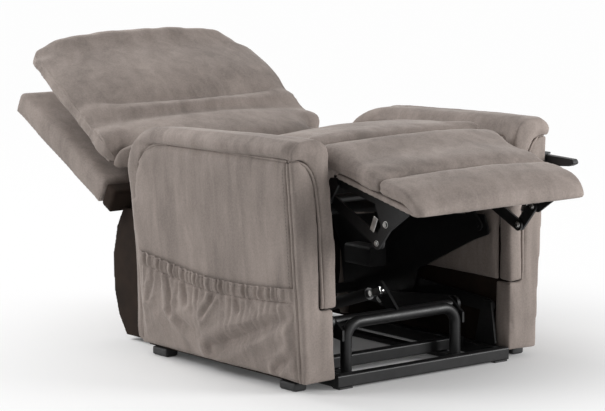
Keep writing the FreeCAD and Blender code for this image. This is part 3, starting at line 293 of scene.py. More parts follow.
def coordinates(mesh):
    points = np.empty(len(mesh.vertices) * 3)
    mesh.vertices.foreach_get("co", points)
    return points.reshape(-1, 3)


def normals(mesh):
    values = np.empty(len(mesh.vertices) * 3)
    mesh.vertices.foreach_get("normal", values)
    return values.reshape(-1, 3)


def setCoordinates(mesh, points):
    mesh.vertices.foreach_set("co", points.ravel())
    mesh.update()


def inFrame(points, place):
    turn = np.array(place.inverted())
    return points @ turn[:3, :3].T + turn[:3, 3]


def bake(piece):  # apply the modifiers, so that the mesh is the final one
    graph = bpy.context.evaluated_depsgraph_get()
    mesh = bpy.data.meshes.new_from_object(piece.evaluated_get(graph))
    old = piece.data
    piece.modifiers.clear()
    piece.data = mesh
    bpy.data.meshes.remove(old)
    mesh.name = piece.name
    return piece


def shadeSmooth(piece):
    piece.data.polygons.foreach_set("use_smooth", [True] * len(piece.data.polygons))


def soften(piece, iterations):
    smooth = piece.modifiers.new("soften", "SMOOTH")
    smooth.factor, smooth.iterations = 0.5, iterations
    return bake(piece)


def softCopy(node, settings):  # the node's outline with an even mesh and softened edges
    shape = bmesh.new()
    shape.from_mesh(nodes[node].data)
    bmesh.ops.remove_doubles(shape, verts=shape.verts, dist=1e-5)
    name = node + "_cover"
    piece = newObject(name, meshOf(shape, name), settings.get("slot", "upholstery"))
    remesh = piece.modifiers.new("evenMesh", "REMESH")
    remesh.mode, remesh.voxel_size = "VOXEL", settings["voxel"] * mm
    return soften(piece, settings["rounding"])


clothLook = {"frames": 20, "quality": 4, "mass": 0.3, "stretch": 12, "shear": 4, "bend": 0.8}


def plump(piece, settings):  # swell the cover by cloth simulation, no further than the cap
    look = clothLook
    start = coordinates(piece.data)
    padding = piece.modifiers.new("padding", "CLOTH")
    fabric = padding.settings
    fabric.quality, fabric.mass = look["quality"], look["mass"]
    fabric.tension_stiffness = fabric.compression_stiffness = look["stretch"]
    fabric.shear_stiffness, fabric.bending_stiffness = look["shear"], look["bend"]
    fabric.use_pressure, fabric.uniform_pressure_force = True, settings["pressure"]
    fabric.effector_weights.gravity = 0
    padding.collision_settings.use_collision = False
    padding.point_cache.frame_end = look["frames"]
    for step in range(1, look["frames"] + 1):
        scene.frame_set(step)
    graph = bpy.context.evaluated_depsgraph_get()
    swollen = coordinates(piece.evaluated_get(graph).data)
    piece.modifiers.clear()
    scene.frame_set(1)
    move = swollen - start
    length = np.linalg.norm(move, axis=1, keepdims=True)
    cap = settings["cap"] * mm
    move *= cap * np.tanh(length / cap) / np.maximum(length, 1e-9)
    setCoordinates(piece.data, start + move)


def subdivide(piece):
    smooth = piece.modifiers.new("finer", "SUBSURF")
    smooth.levels = smooth.render_levels = 1
    bake(piece)


def push(piece, place, offset):  # moves each point along its normal by offset(local point, local normal) in mm
    points, facing = coordinates(piece.data), normals(piece.data)
    local = inFrame(points, place) / mm
    turned = facing @ np.array(place.to_3x3())
    amount = offset(local, turned)
    setCoordinates(piece.data, points + facing * (amount * mm)[:, None])


def reshape(piece, place, change):  # change(local points in mm) gives new local points
    points = inFrame(coordinates(piece.data), place) / mm
    turn = np.array(place)
    setCoordinates(piece.data, (change(points) * mm) @ turn[:3, :3].T + turn[:3, 3])


def wobble(points, scale, seed=0.0):  # smooth noise, about -1 to 1, of points in mm
    return np.array([noise.noise((p[0] / scale + seed, p[1] / scale - seed, p[2] / scale + 3 * seed))
                     for p in points])


def along(values, scale, seed):  # smooth noise along one line
    return np.array([noise.noise((v / scale, seed, 0.37 * seed)) for v in values])


def ease(values, low, high):
    t = np.clip((values - low) / (high - low), 0, 1)
    return t * t * (3 - 2 * t)


def seam(distance, run, depth, width, pucker=0.0, wave=30.0, reach=24.0, seed=1.0):
    groove = -depth * np.exp(-(distance / width) ** 2)
    if not pucker:
        return groove
    side = np.sign(distance)
    pulls = along(run + side * 400, wave, seed) * 0.6 + along(run + side * 90, wave * 0.45, seed + 5) * 0.4
    away = np.abs(distance)
    return groove + pucker * pulls * np.exp(-away / reach) * ease(away, 0, width * 1.6)


def softPiece(node, settings):  # a padded or sewn cover in place of a CAD node
    piece = softCopy(node, settings)
    if "reshape" in settings:
        reshape(piece, settings["place"], settings["reshape"])
    if "cap" in settings:
        plump(piece, settings)
    if "settle" in settings:
        soften(piece, settings["settle"])
    if settings.get("finer", True):
        subdivide(piece)
    shadeSmooth(piece)
    if "relief" in settings:
        push(piece, settings["place"], settings["relief"])
    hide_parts(node)
    if "body" in settings:
        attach(piece, settings["body"])
    return piece


def mirrorPiece(source, node, settings):  # the other side's twin of a finished piece
    shape = bmesh.new()
    shape.from_mesh(source.data)
    bmesh.ops.scale(shape, vec=(-1, 1, 1), verts=shape.verts)
    bmesh.ops.reverse_faces(shape, faces=shape.faces)
    name = node + "_cover"
    piece = newObject(name, meshOf(shape, name), source["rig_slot"])
    shadeSmooth(piece)
    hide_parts(node)
    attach(piece, settings["body"])


# Arms
rollLook = {"height": 574, "fall": 15 / 684, "bulge": 13.0, "frontBulge": 5.0, "tuck": 8.5, "tuckDrop": 25,
            "tailIn": 5.2, "tailOut": 1.6}
rollEnd = {"behind": 600, "from": 401, "to": 470, "foot": 30, "lean": (0.066, 0.008)}


def rollRelief(local, facing):
    look = rollLook
    x, y, z = local.T
    drift = wobble(local * (1, 0.5, 1), 90, 3.1) * 1.6 + wobble(local, 34, 1.7) * 0.5
    tail = (1 - ease(z, 440, 545)) * ease(y, 540, 640)  # the roll thins out down the rear corner
    above = z - look["height"] + look["fall"] * y
    side = ease(facing[:, 0], 0.15, 0.6) * ease(y, 0, 30) * (1 - ease(y, 560, 650))
    front = ease(-facing[:, 1], 0.3, 0.8)
    rounding = np.exp(-(above / 21) ** 2)
    under = np.exp(-((above + look["tuckDrop"]) / 9) ** 2)
    bulge = side * (look["bulge"] * rounding - look["tuck"] * under) + front * look["frontBulge"] * rounding
    thinner = look["tailOut"] * tail - look["tailIn"] * tail * ease(np.abs(facing[:, 0]), 0.3, 0.8)
    return drift * (1 - tail) + thinner + bulge


def rollTail(local):  # the rear end of the roll runs on down the arm's rear edge as a narrow band
    x, y, z = local.T
    low, start, foot = rollEnd["from"], rollEnd["to"], rollEnd["foot"]
    tail = (y > rollEnd["behind"]) & (z < start)
    down = np.where(tail, foot + (z - low) * (start - foot) / (start - low), z)
    leanX, leanY = rollEnd["lean"]
    return np.stack([x - leanX * (z - down), y - leanY * (z - down), down], 1)


def panelRelief(local, facing):
    return wobble(local * (1, 0.7, 1), 120, 5.3) * 1.8 + wobble(local * (1, 1.4, 0.6), 45, 2.2) * 0.7


armLook = {
    "arm_top_roll": {"voxel": 6, "rounding": 6, "pressure": 3.0, "cap": 7, "fill": 0.8, "relief": rollRelief,
                     "reshape": rollTail},
    "arm_front_panel": {"voxel": 5, "rounding": 5, "pressure": 2.0, "cap": 3.5, "fill": 0.8, "relief": panelRelief},
    "arm_inner_panel": {"voxel": 6, "rounding": 4, "pressure": 2.0, "cap": 4, "finer": False, "fill": 0.7,
                        "relief": panelRelief},
    "arm_side_panel": {"voxel": 6, "rounding": 5, "pressure": 1.5, "cap": 3, "finer": False, "fill": 0.6,
                       "relief": panelRelief},
}


def makeArms():
    for part, look in armLook.items():
        settings = dict(look, place=floorFrame, body="chair")
        piece = softPiece("left_" + part, settings)
        mirrorPiece(piece, "right_" + part, settings)
    print("arms covered")


# Rows of stitches
stitchLook = {"length": 5.4, "width": 1.3, "pitch": 8.0}
armRows = {"places": (29, 37), "from": 44, "to": 528}  # rows behind the arm's front edge


def surfaceOf(piece):
    graph = bpy.context.evaluated_depsgraph_get()
    return BVHTree.FromObject(piece, graph)


def castRow(skin, starts, direction):  # where each ray from starts lands on the skin, with the skin's normal
    landed = [skin.ray_cast(start, direction) for start in starts]
    return [(place, facing) for place, facing, _, _ in landed if place is not None]


def addStitches(name, rows, body):
    long, thick = (stitchLook[k] / 2 * mm for k in ("length", "width"))
    size = Matrix.Diagonal((long, thick, thick, 1))
    shape = bmesh.new()
    for row in rows:
        for (a, up), (b, _) in zip(row[::2], row[1::2]):
            way = (b - a).normalized()
            side = up.cross(way).normalized()
            turn = Matrix((way, side, way.cross(side))).transposed().to_4x4()
            bmesh.ops.create_icosphere(shape, subdivisions=1, radius=1,
                                       matrix=Matrix.Translation((a + b) / 2) @ turn @ size)
    piece = newObject(name, meshOf(shape, name), "upholstery")
    piece.data.materials[0] = threadFinish
    shadeSmooth(piece)
    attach(piece, body)


def steps(start, end):  # pairs of points, a stitch long and a pitch apart
    places = np.arange(start, end, stitchLook["pitch"])
    return [v for p in places for v in (p, p + stitchLook["length"])]


# Piping: x, y and z in mm; the coordinate left None is found on the covers
pipingLook = {
    "front_panel": {"radius": 3.6, "sunk": 2.9, "parts": ("arm_top_roll", "arm_front_panel"),
                    "beside": ((-9, 0), (9, 0)),
                    "path": [(313, None, 200), (315, None, 290), (318, None, 380), (323, None, 451),
                             (329, None, 489), (340, None, 519), (356, None, 539), (378, None, 549),
                             (396, None, 551)]},
    "outer_corner": {"radius": 4.8, "sunk": 4.0, "parts": ("arm_side_panel",), "beside": ((10, 0),),
                     "path": [(None, 23, 26), (None, 23, 150), (None, 23, 300), (None, 23, 450), (None, 23, 545)]},
    "roll_seam": {"radius": 4.6, "sunk": 6.0, "parts": ("arm_side_panel",), "beside": ((0, -10),),
                  "path": [(None, 24, 550), (None, 120, 550), (None, 300, 549), (None, 514, 547), (None, 566, 539),
                           (None, 606, 521), (None, 633, 495), (None, 650, 462)]},
}
castFrom = {"front": -90, "side": 480}  # planes in front of and beside the arms from which covers are looked for
castReach = 0.13  # how deep a cover may lie behind its plane
pipingPoints = 100


def evenLine(path, count):
    runs = np.concatenate([[0], np.cumsum(np.linalg.norm(np.diff(path, axis=0), axis=1))])
    even = np.linspace(0, runs[-1], count)
    line = np.stack([np.interp(even, runs, path[:, k]) for k in range(path.shape[1])], 1)
    for k in range(2, count - 2):
        line[k] = line[k - 2:k + 3].mean(0)
    return line


def landing(look, skins, sign, line):  # how deep each point of the path lies, by the covers beside it
    found = []
    for a, z in line:
        far = []
        for da, dz in look["beside"]:
            if look["path"][0][1] is None:
                start, way = spot(sign * (a + da), castFrom["front"], z + dz), Vector((0, 1, 0))
            else:
                start, way = spot(sign * castFrom["side"], a + da, z + dz), Vector((-sign, 0, 0))
            hits = [skin.ray_cast(start, way, castReach)[0] for skin in skins]
            far += [(h - start).length for h in hits if h is not None]
        found.append(min(far) if far else np.nan)
    found = np.array(found)
    known = np.flatnonzero(~np.isnan(found))
    found = np.interp(np.arange(len(found)), known, found[known])
    return np.convolve(np.pad(found, 4, "edge"), np.ones(9) / 9, "valid") / mm


def makeStrand(name, places, radius):  # a round cord of cloth through the places
    curve = bpy.data.curves.new(name, "CURVE")
    curve.dimensions, curve.bevel_depth, curve.bevel_resolution = "3D", radius * mm, 3
    curve.use_fill_caps = True
    strand = curve.splines.new("POLY")
    strand.points.add(len(places) - 1)
    for point, place in zip(strand.points, places):
        point.co = (*place, 1)
    guide = bpy.data.objects.new(name + "Guide", curve)
    scene.collection.objects.link(guide)
    mesh = bpy.data.meshes.new_from_object(guide.evaluated_get(bpy.context.evaluated_depsgraph_get()))
    bpy.data.objects.remove(guide)
    piece = newObject(name, mesh, "upholstery")
    shadeSmooth(piece)
    return piece


def makePiping(side, name):
    look = pipingLook[name]
    sign = 1 if side == "left" else -1
    line = evenLine(np.array([[v for v in p if v is not None] for p in look["path"]], float), pipingPoints)
    skins = [surfaceOf(bpy.data.objects[f"{side}_{part}_cover"]) for part in look["parts"]]
    depths = landing(look, skins, sign, line) + look["sunk"]
    if look["path"][0][1] is None:
        places = [spot(sign * a, castFrom["front"] + d, z) for (a, z), d in zip(line, depths)]
    else:
        places = [spot(sign * (castFrom["side"] - d), a, z) for (a, z), d in zip(line, depths)]
    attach(makeStrand(f"{side}_{name}_piping", places, look["radius"]), "chair")


def makeArmStitches():
    for side, sign in (("left", 1), ("right", -1)):
        skin = surfaceOf(bpy.data.objects[side + "_arm_side_panel_cover"])
        rows = []
        for y in armRows["places"]:
            starts = [spot(sign * castFrom["side"], y, z) for z in steps(armRows["from"], armRows["to"])]
            rows.append(castRow(skin, starts, Vector((-sign, 0, 0))))
        addStitches(side + "_arm_seam_stitches", rows, "chair")
    print("arm seams stitched")


# Side pockets: a slack panel with an elastic, gathered mouth
pocketLook = {"front": 20, "rear": 652, "foot": 34, "mouth": 252, "dip": 16, "rise": 13, "slack": 10, "thick": 2.4,
              "band": 34, "hem": 5.0, "margin": 12, "edge": 0.04, "columns": 330, "rows": 110, "ruche": 5.6,
              "fineRuche": 2.2, "puff": 3.6, "fan": 7.5, "crease": 4.0, "fold": 1.3, "lift": 2.2, "least": 1.6}
pocketFolds = [  # each from y, z to y, z in mm, then half width and depth
    (526, 224, 512, 128, 9, 8), (455, 212, 448, 160, 8, 6), (590, 226, 604, 150, 8, 4),
    (318, 212, 378, 140, 8, 7), (395, 215, 402, 176, 7, 4), (245, 212, 232, 172, 7, 3.5),
    (352, 58, 20, 188, 17, 9), (100, 44, 20, 104, 10, 6), (470, 110, 330, 66, 14, 4),
    (180, 206, 150, 176, 8, 3)]
armOutline = {"top": 597, "half": 400, "taper": 38 / 575}  # the arm's outer side, where no cover is met


def pocketFold(y, z):  # valleys, each with a soft ridge beside it
    depth = 0.0
    for y0, z0, y1, z1, wide, deep in pocketFolds:
        dy, dz = y1 - y0, z1 - z0
        share = min(1.0, max(0.0, ((y - y0) * dy + (z - z0) * dz) / (dy * dy + dz * dz)))
        away = math.hypot(y - y0 - share * dy, z - z0 - share * dz)
        valley = math.exp(-(away / wide) ** 2)
        ridge = 0.7 * math.exp(-((away - 1.9 * wide) / (1.1 * wide)) ** 2)
        depth += (1 - 0.45 * share) * deep * (ridge - valley)
    return depth


def pocketMouth(t):
    look = pocketLook
    sink = math.sin(math.pi * min(t * 1.05, 1))
    return look["mouth"] - look["dip"] * sink + look["rise"] * max(0, t - 0.55) / 0.45


def pocketOut(t, s):  # how far the panel stands off the arm, t along its mouth and s up its height
    look = pocketLook
    y = look["front"] + (look["rear"] - look["front"]) * t
    top = pocketMouth(t)
    z = look["foot"] + (top - look["foot"]) * s
    fromTop, band = top - z, look["band"]
    edge = min(1, t / look["edge"]) * min(1, (1 - t) / look["edge"])
    edge = edge * edge * (3 - 2 * edge)
    below = max(0.0, fromTop - band)
    within = min(1, fromTop / band)
    phase = 2.4 * noise.noise((y / 60, 7, 1))
    ruche = look["ruche"] * math.sin(y / 4.3 + phase) * (0.8 + 0.7 * noise.noise((y / 40, 3, 2)))
    ruche += look["fineRuche"] * math.sin(y / 1.7 + 2 * phase) * (0.7 + 0.7 * noise.noise((y / 17, 5, 2)))
    gather = ruche * math.sin(math.pi * min(1, 0.12 + 0.88 * within)) ** 0.6 if below == 0 else 0.0
    puff = look["puff"] * math.sin(math.pi * within) if below == 0 else 0.0
    lines = -2.2 * math.exp(-((fromTop - band) / 2.6) ** 2) + 1.6 * math.exp(-(fromTop / 4.0) ** 2)
    fan = noise.noise((y / 15, z / 190, 4)) + 0.6 * noise.noise((y / 33 + z / 210, z / 120, 8))
    fan += 0.5 * math.sin(y / 4.3 + phase) * math.exp(-below / 30)
    fan *= look["fan"] * math.exp(-below / 60) * (1 - math.exp(-below / 7))
    slant = z + 0.42 * y
    crease = (1 - abs(noise.noise((slant / 58, y / 190, 9)))) ** 4 + 0.7 * (
        1 - abs(noise.noise(((z - 0.5 * y) / 70, y / 170, 15)))) ** 5
    crease *= look["crease"] * min(1, below / 40) * math.sin(math.pi * min(1, s * 1.25 + 0.04))
    belly = look["slack"] * (0.3 * s + 0.7 * math.sin(math.pi * min(1, s * 1.15)) ** 2)
    folds = look["fold"] * pocketFold(y, z) * min(1, below / 6)
    out = look["lift"] + edge * (belly + gather + puff + lines + fan + crease + folds)
    return y, z, max(look["least"], out)


def makePocket(side):
    look = pocketLook
    sign = 1 if side == "left" else -1
    skin = surfaceOf(bpy.data.objects[side + "_arm_side_panel_cover"])
    inward = Vector((-sign, 0, 0))

    def onArm(t, s, lift=0.0):
        y, z, out = pocketOut(t, s)
        reach = skin.ray_cast(spot(sign * castFrom["side"], y, z), inward)[0]
        if reach is None:
            base = armOutline["half"] - (armOutline["top"] - z) * armOutline["taper"]
        else:
            base = abs(reach.x) / mm
        return spot(sign * (base + out + lift), y, z)

    shape = bmesh.new()
    bmesh.ops.create_grid(shape, x_segments=look["columns"], y_segments=look["rows"], size=0.5)
    for v in shape.verts:
        v.co = onArm(v.co.x + 0.5, v.co.y + 0.5)
    bmesh.ops.recalc_face_normals(shape, faces=shape.faces)
    name = side + "_pocket_panel"
    piece = newObject(name, meshOf(shape, name), "upholstery")
    wall = piece.modifiers.new("wall", "SOLIDIFY")
    wall.thickness, wall.offset = look["thick"] * mm, 0.0
    bake(piece)
    shadeSmooth(piece)
    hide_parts(side + "_side_pocket")
    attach(piece, "chair")
    rows = []
    for drop in (look["band"], look["hem"]):
        row = []
        for y in steps(look["front"] + look["margin"], look["rear"] - look["margin"]):
            t = (y - look["front"]) / (look["rear"] - look["front"])
            s = 1 - drop / (pocketMouth(t) - look["foot"])
            row.append((onArm(t, s, look["thick"] / 2), Vector((sign, 0, 0))))
        rows.append(row)
    addStitches(side + "_pocket_stitches", rows, "chair")


# Seat, leg rest and back: the shapes that the CAD pads are drawn into, in mm
seatShape = {"boxing": 92, "edge": 24, "wider": 0.03, "higher": 13}
restShape = {"seam": 178, "boxing": 44, "edge": 13, "wider": 0.026, "higher": 8, "droop": 12, "roll": 3}
backShape = {"seamEnds": 179, "seamSag": 34, "seamHalf": 350, "valley": 212, "valleyReach": 95, "lobe": 7,
             "corner": (252, 378, 103), "cornerBack": 17, "drop": 12, "draw": 108, "out": 62,
             "groove": 4.0, "fan": 3.4, "welt": 4.2, "underWelt": 3.0, "tucks": 1.7}
lumbarShape = {"base": 15, "wider": 0.34, "narrower": 0.03, "rise": 46, "drop": 56, "swell": 1.1, "back": 12,
               "foot": 9, "bolster": 38}
boardCorner = (232, 360, 92)
coverRise = 13


def seatRelief(local, facing):
    x, y, z = local.T
    top = ease(facing[:, 2], 0.1, 0.6)
    drift = wobble(local, 110, 8.4) * 2.6 + wobble(local * (1, 1, 0.5), 42, 4.4) * 0.9
    boxing = seam(z - seatShape["boxing"], x + y, 2.2, 5, 0.8, 24, 18, 2.0) * (1 - top)
    return drift * (0.3 + 0.7 * top) + boxing


def restRelief(local, facing):
    x, y, z = local.T
    top = ease(facing[:, 2], 0.1, 0.6)
    drift = wobble(local, 80, 6.4) * 1.8 + wobble(local, 36, 2.4) * 0.7
    puckers = seam(y - restShape["seam"], x, 0.0, 6, 2.4, 34, 26, 3.0) * top
    boxing = seam(z - restShape["boxing"], x + y, 1.8, 4, 0.6, 22, 14, 6.0) * (1 - top)
    return drift * (0.3 + 0.7 * top) + puckers + boxing


def crossSeam(x):  # the back pad's cross seam sags towards the middle
    return backShape["seamEnds"] - backShape["seamSag"] * (1 - (x / backShape["seamHalf"]) ** 2)


def backRelief(local, facing):
    look = backShape
    x, y, z = local.T
    top = ease(facing[:, 2], 0.1, 0.6)
    drift = wobble(local, 130, 2.7) * 1.7 + wobble(local * (1, 1, 0.5), 46, 7.1) * 0.4
    inner = 1 - ease(np.abs(x), 230, 320)
    line = y - crossSeam(x)
    cross = seam(line, x, look["groove"], 8, 4.0, 40, 40, 5.0) * top * inner
    fan = along(x, 26, 11.0) * np.exp(-((line - 30) / 32) ** 2) * look["fan"] * top * inner
    sideways = np.abs(facing[:, 0])
    edge = ease(sideways, 0.3, 0.6) * ease(y, 0, 40) * (1 - ease(y, 390, 440))
    ridge = look["welt"] * np.exp(-((facing[:, 2] - 0.55) / 0.2) ** 2)
    ditch = look["underWelt"] * np.exp(-((facing[:, 2] - 0.1) / 0.22) ** 2)
    gathered = 0.3 + 0.7 * np.exp(-((y - 110) / 80) ** 2)
    tucks = ease(sideways, 0.5, 0.85) * along(y, 11, 21.0) * look["tucks"] * gathered
    return drift * (0.2 + 0.8 * top) + cross + fan + edge * (ridge - ditch) + tucks


def shellRelief(local, facing):
    boxing = seam(local[:, 2] + 58, local[:, 1], 1.8, 4)
    return wobble(local, 130, 1.9) * 2.0 + wobble(local, 50, 6.6) * 0.7 + boxing


def fullerLumbar(local):  # spreads out and up behind the arms, to meet the upper pad
    look = lumbarShape
    x, y, z = local.T
    up, down = ease(y, 84, 126), 1 - ease(y, -10, 40)
    bolster = look["bolster"] * up * ease(np.abs(x), 190, 245) * (1 - ease(z, 15, 45))
    deep = look["base"] + (z - look["base"]) * (1 + look["swell"] * up)
    return np.stack([x * (1 + look["wider"] * up - look["narrower"] * down),
                     y + look["rise"] * ease(y, 70, 134) - look["drop"] * down,
                     deep - look["back"] * up - look["foot"] * down - bolster], 1)


def roundCorners(x, y, x0, y0, reach):  # rounds the upper corners beyond x0 and y0
    u, v = np.maximum(0, np.abs(x) - x0) / reach, np.maximum(0, y - y0) / reach
    over = np.maximum(1, np.sqrt(u ** 2 + v ** 2))
    corner = ease(u * v / over ** 2, 0.05, 0.45)
    return np.sign(x) * (np.minimum(np.abs(x), x0) + reach * u / over), np.minimum(y, y0) + reach * v / over, corner


def fullerBack(local):  # moves the valley to the cross seam and draws the foot down over the lower pad
    look = backShape
    x, y, z = local.T
    upper, away = ease(z, 40, 70), np.abs(x)
    fill = 4 + 8 * ease(away, 200, 310) - 4 * ease(away, 310, 354)
    swell = fill * np.exp(-((y - look["valley"]) / 26) ** 2) * upper
    swell -= look["lobe"] * np.exp(-((y - 112) / 45) ** 2) * upper
    foot, front = 1 - ease(y, -10, 70), ease(z, 25, 42) * (1 - ease(away, 255, 300))
    x, y, corner = roundCorners(x, y, *look["corner"])
    shift = (look["valley"] - crossSeam(x)) * np.exp(-((y - look["valley"]) / look["valleyReach"]) ** 2)
    return np.stack([x * (1 - 0.02 * ease(y, 300, 480)), y - shift - (look["drop"] + look["draw"] * front) * foot,
                     z + swell + look["out"] * front * foot ** 2
                     - look["cornerBack"] * corner * ease(z, 25, 45)], 1)


def roundBoard(local):
    x, y, z = local.T
    x, y, _ = roundCorners(x, y, *boardCorner)
    return np.stack([x, y, z], 1)


def flushRest(local):  # shallower steps between the pads
    look = restShape
    x, y, z = local.T
    near = np.exp(-((y - look["seam"]) / look["edge"]) ** 2)
    return np.stack([x * (1 + look["wider"] * near), y, z + look["higher"] * near * ease(z, 20, 45)], 1)


def flushSeat(local):
    look = seatShape
    x, y, z = local.T
    near = np.exp(-(y / look["edge"]) ** 2)
    return np.stack([x * (1 + look["wider"] * near), y, z + look["higher"] * near * ease(z, 40, 80)], 1)


def droopingRest(local):  # the rest's front edge rolls down over the board's edge
    x, y, z = flushRest(local).T
    lower = restShape["droop"] * ease(y, 255, 325) * (1 - 0.5 * ease(z, 40, 70))
    return np.stack([x, y + restShape["roll"] * ease(y, 290, 328), z - lower], 1)


def tallerCover(local):
    x, y, z = local.T
    return np.stack([x, y, z + coverRise * ease(z, 240, 330)], 1)


cushionLook = {
    "seat_cushion": {"voxel": 7, "rounding": 5, "pressure": 2.4, "cap": 7, "fill": 0.75, "place": seatFrame,
                     "reshape": flushSeat, "relief": seatRelief, "body": "seat"},
    "legrest_pad": {"voxel": 5, "rounding": 4, "pressure": 2.2, "cap": 5, "fill": 0.75, "place": restFrame,
                    "reshape": droopingRest, "relief": restRelief, "body": "legrest"},
    "bridge_pad": {"voxel": 5, "rounding": 4, "pressure": 2.2, "cap": 5, "fill": 0.75, "place": restFrame,
                   "reshape": flushRest, "relief": restRelief},
    "lumbar_pad": {"voxel": 5, "rounding": 6, "pressure": 4.0, "cap": 9, "fill": 0.7, "place": backFrame,
                   "reshape": fullerLumbar, "relief": seatRelief, "body": "back"},
    "back_pad": {"voxel": 7, "rounding": 6, "pressure": 2.2, "cap": 7, "settle": 18, "fill": 0.8,
                 "place": headFrame, "reshape": fullerBack, "relief": backRelief},
    "back_shell": {"voxel": 7, "rounding": 5, "pressure": 1.5, "cap": 4, "fill": 0.9, "place": backFrame,
                   "relief": shellRelief, "body": "back"},
}
bridgeBend = {"start": spot(0, 80, 530), "end": spot(0, 5, 510)}
weltLook = {"radius": 2.3, "sunk": 1.2, "edge": (346, 57), "above": 100, "from": -22, "to": 372, "count": 90}


def makePadWelts(pad):  # the corded edge between the back pad's front and its side bands
    look = weltLook
    skin = surfaceOf(pad)
    out, over = look["edge"]
    for side, sign in (("left", 1), ("right", -1)):
        way = headFrame.to_3x3() @ Vector((-sign, 0, -1)).normalized()
        found = []
        for y in np.linspace(look["from"], look["to"], look["count"]):
            corner = headFrame @ (Vector((sign * out, y, over)) * mm)
            hit = skin.ray_cast(corner - way * look["above"] * mm, way)[0]
            if hit is not None:
                found.append(hit + way * look["sunk"] * mm)
        line = np.array(found)
        line[2:-2] = (line[:-4] + line[1:-3] + line[2:-2] + line[3:-1] + line[4:]) / 5
        welt = makeStrand(f"{side}_back_pad_welt", line, look["radius"])
        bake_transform(welt)


def makeCushions():
    for node, look in cushionLook.items():
        piece = softPiece(node, look)
        if node == "bridge_pad":
            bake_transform(piece)
        if node == "back_pad":
            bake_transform(piece)
            makePadWelts(piece)
    print("cushions filled")


# Boards and the cloth-covered pieces
boardLook = {
    "arm_feet": {"voxel": 2.5, "rounding": 9, "slot": "black_plastic", "body": "chair"},
    "legrest_board": {"voxel": 4, "rounding": 5, "finer": False, "slot": "upholstery", "body": "legrest"},
    "head_board": {"voxel": 4, "rounding": 5, "finer": False, "slot": "upholstery", "body": "head",
                   "place": headFrame, "reshape": roundBoard},
    "back_lower_rail": {"voxel": 5, "rounding": 5, "finer": False, "slot": "dust_cloth", "body": "back"},
    "rear_dust_cover": {"voxel": 3, "rounding": 4, "finer": False, "slot": "dust_cloth", "body": "chair",
                        "place": floorFrame, "reshape": tallerCover},
}


def makeBoards():
    for node, look in boardLook.items():
        softPiece(node, look)
    print("boards covered")


# Bolts at the pivots: y, z and x of the face they stand on, which way they point, and their size
boltLook = {"head": 7.5, "height": 4.6, "washer": 10.5, "washerThick": 1.4, "rim": 0.5}
boltPlaces = {
    "base": [(68, 130, 268, 1, 0.55), (125, 135, 186, -1, 0.8), (150, 30, 240, -1, 0.7)],
    "lift_arm": [(125, 135, 202, 1, 0.9), (404, 110, 202, 1, 0.9)],
    "chair": [(90.8, 330.9, 260, 1, 0.9), (457.8, 289.6, 260, 1, 0.9), (520, 160, 268, 1, 0.5),
              (404, 110, 188, -1, 1), (700, 400, 260, 1, 1)],
    "seat": [(161.5, 401.7, 250, 1, 0.6), (497.3, 348.5, 250, 1, 0.6), (45, 488, 228, -1, 0.7),
             (87, 439, 242, 1, 0.5)],
    "crank": [(-91, 356, 226, 1, 0.7), (-91, 356, 212, -1, 0.8)],
    "knee": [(-133, 405, 233, 1, 0.8), (-133, 405, 220, -1, 0.7)],
}
linkPlateLook = {"y": -92, "z": 402, "x": 234.2, "long": 36, "wide": 15, "thick": 2.2, "turn": 24,
                 "rim": 0.6}


def addBolt(shape, sign, place, look):
    y, z, x, way, size = place
    turn = Matrix.Rotation(math.radians(90), 4, "Y")
    for radius, height, start, sides in ((look["washer"], look["washerThick"], 0, 24),
                                         (look["head"], look["height"], look["washerThick"], 6)):
        middle = x + way * size * (start + height / 2)
        made = bmesh.ops.create_cone(shape, cap_ends=True, segments=sides, radius1=radius * size * mm,
                                     radius2=radius * size * mm, depth=height * size * mm,
                                     matrix=Matrix.Translation(spot(sign * middle, y, z)) @ turn)
        rims = {e for v in made["verts"] for e in v.link_edges if any(len(f.verts) > 4 for f in e.link_faces)}
        bmesh.ops.bevel(shape, geom=list(rims), offset=look["rim"] * size * mm, segments=2, profile=0.5,
                        affect="EDGES", material=-1)


def makeBolts():
    for body, places in boltPlaces.items():
        shape = bmesh.new()
        for sign in (-1, 1):
            for place in places:
                addBolt(shape, sign, place, boltLook)
        name = body + "_bolts"
        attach(newObject(name, meshOf(shape, name), "zinc_steel"), body)
    look = linkPlateLook
    shape = bmesh.new()
    turn = Matrix.Rotation(math.radians(look["turn"]), 4, "X")
    size = Matrix.Diagonal((look["thick"] * mm, look["wide"] * mm, look["long"] * mm, 1))
    for sign in (-1, 1):
        place = Matrix.Translation(spot(sign * look["x"], look["y"], look["z"]))
        bmesh.ops.create_cube(shape, size=1, matrix=place @ turn @ size)
    bmesh.ops.bevel(shape, geom=shape.edges[:], offset=look["rim"] * mm, segments=2, profile=0.5,
                    affect="EDGES", material=-1)
    name = "legrest_link_plates"
    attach(newObject(name, meshOf(shape, name), "zinc_steel"), "legrest")
    print("bolts set")


# Floor and light
stageLook = {"floor": (0.84, 0.84, 0.84, 1), "size": 14, "near": 0.04, "far": 0.98, "inner": 0.4, "outer": 1.3,
             "sky": 0.3, "white": (1, 1, 1, 1)}
lamps = [  # name, place, what it points at, size in metres and power
    ("rearSoftbox", (-0.5, 3.5, 3.0), (0, 0, 0.4), 1.9, 116),
    ("frontSoftbox", (2.6, -3.4, 1.4), (0, -0.2, 0.4), 1.8, 132),
    ("sideSoftbox", (-2.8, 1.4, 2.6), (0, 0, 0.4), 1.6, 59)]


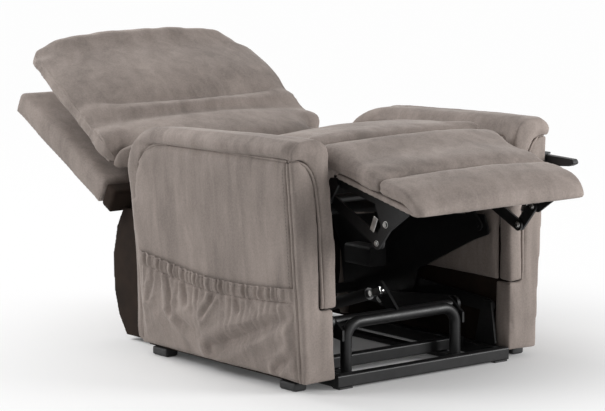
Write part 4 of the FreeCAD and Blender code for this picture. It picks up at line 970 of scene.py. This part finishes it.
def makeFloor():  # shows the chair's shadow nearby and fades to white further out
    look = stageLook
    shape = bmesh.new()
    bmesh.ops.create_grid(shape, x_segments=1, y_segments=1, size=look["size"])
    floor = bpy.data.objects.new("studioFloor", meshOf(shape, "studioFloor"))
    scene.collection.objects.link(floor)
    made = Finish("studioFloor")
    made.set(Base_Color=look["floor"], Roughness=0.9)
    away = made.add("ShaderNodeVectorMath", {"operation": "LENGTH"}, {0: made.place}, "Value")
    share = made.add("ShaderNodeMapRange", {"interpolation_type": "SMOOTHSTEP"},
                     {0: away, 1: look["inner"], 2: look["outer"], 3: look["near"], 4: look["far"]})
    glow = made.add("ShaderNodeEmission", {}, {"Color": look["white"]})
    lit = Wire(made, made.shader.outputs[0])
    mixed = made.add("ShaderNodeMixShader", {}, {0: made.seen() * share, 1: lit, 2: glow})
    made.feed(made.tree.nodes["Material Output"].inputs[0], mixed)
    floor.data.materials.append(made.material)


def makeLight():
    look = stageLook
    scene.world = bpy.data.worlds.new("studio")
    scene.world.use_nodes = True
    air = Nodes(scene.world.node_tree)
    air.tree.nodes.remove(air.tree.nodes["Background"])
    sky, backdrop = (air.add("ShaderNodeBackground", {}, {"Color": look["white"], "Strength": strength})
                     for strength in (look["sky"], 1.0))
    mixed = air.add("ShaderNodeMixShader", {}, {0: air.seen(), 1: sky, 2: backdrop})
    air.feed(air.tree.nodes["World Output"].inputs[0], mixed)
    for name, place, target, size, power in lamps:
        data = bpy.data.lights.new(name, "AREA")
        data.size, data.energy = size, power
        lamp = bpy.data.objects.new(name, data)
        facing = (Vector(place) - Vector(target)).to_track_quat("Z", "Y").to_matrix().to_4x4()
        lamp.matrix_world = Matrix.Translation(place) @ facing
        scene.collection.objects.link(lamp)
    print("stage lit")


scene.view_settings.view_transform = "Standard"
addCamera()
dressFrame()
makeFloor()
makeLight()
makeArms()
for sideName in ("left", "right"):
    for pipingName in pipingLook:
        makePiping(sideName, pipingName)
print("piping sewn")
makeArmStitches()
for sideName in ("left", "right"):
    makePocket(sideName)
print("pockets hung")
makeCushions()
makeBoards()
makeBolts()
for item in scene.objects:
    if item.type == "MESH" and not item.hide_render and item.name in nodes:
        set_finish(item, slotOf[item.name])
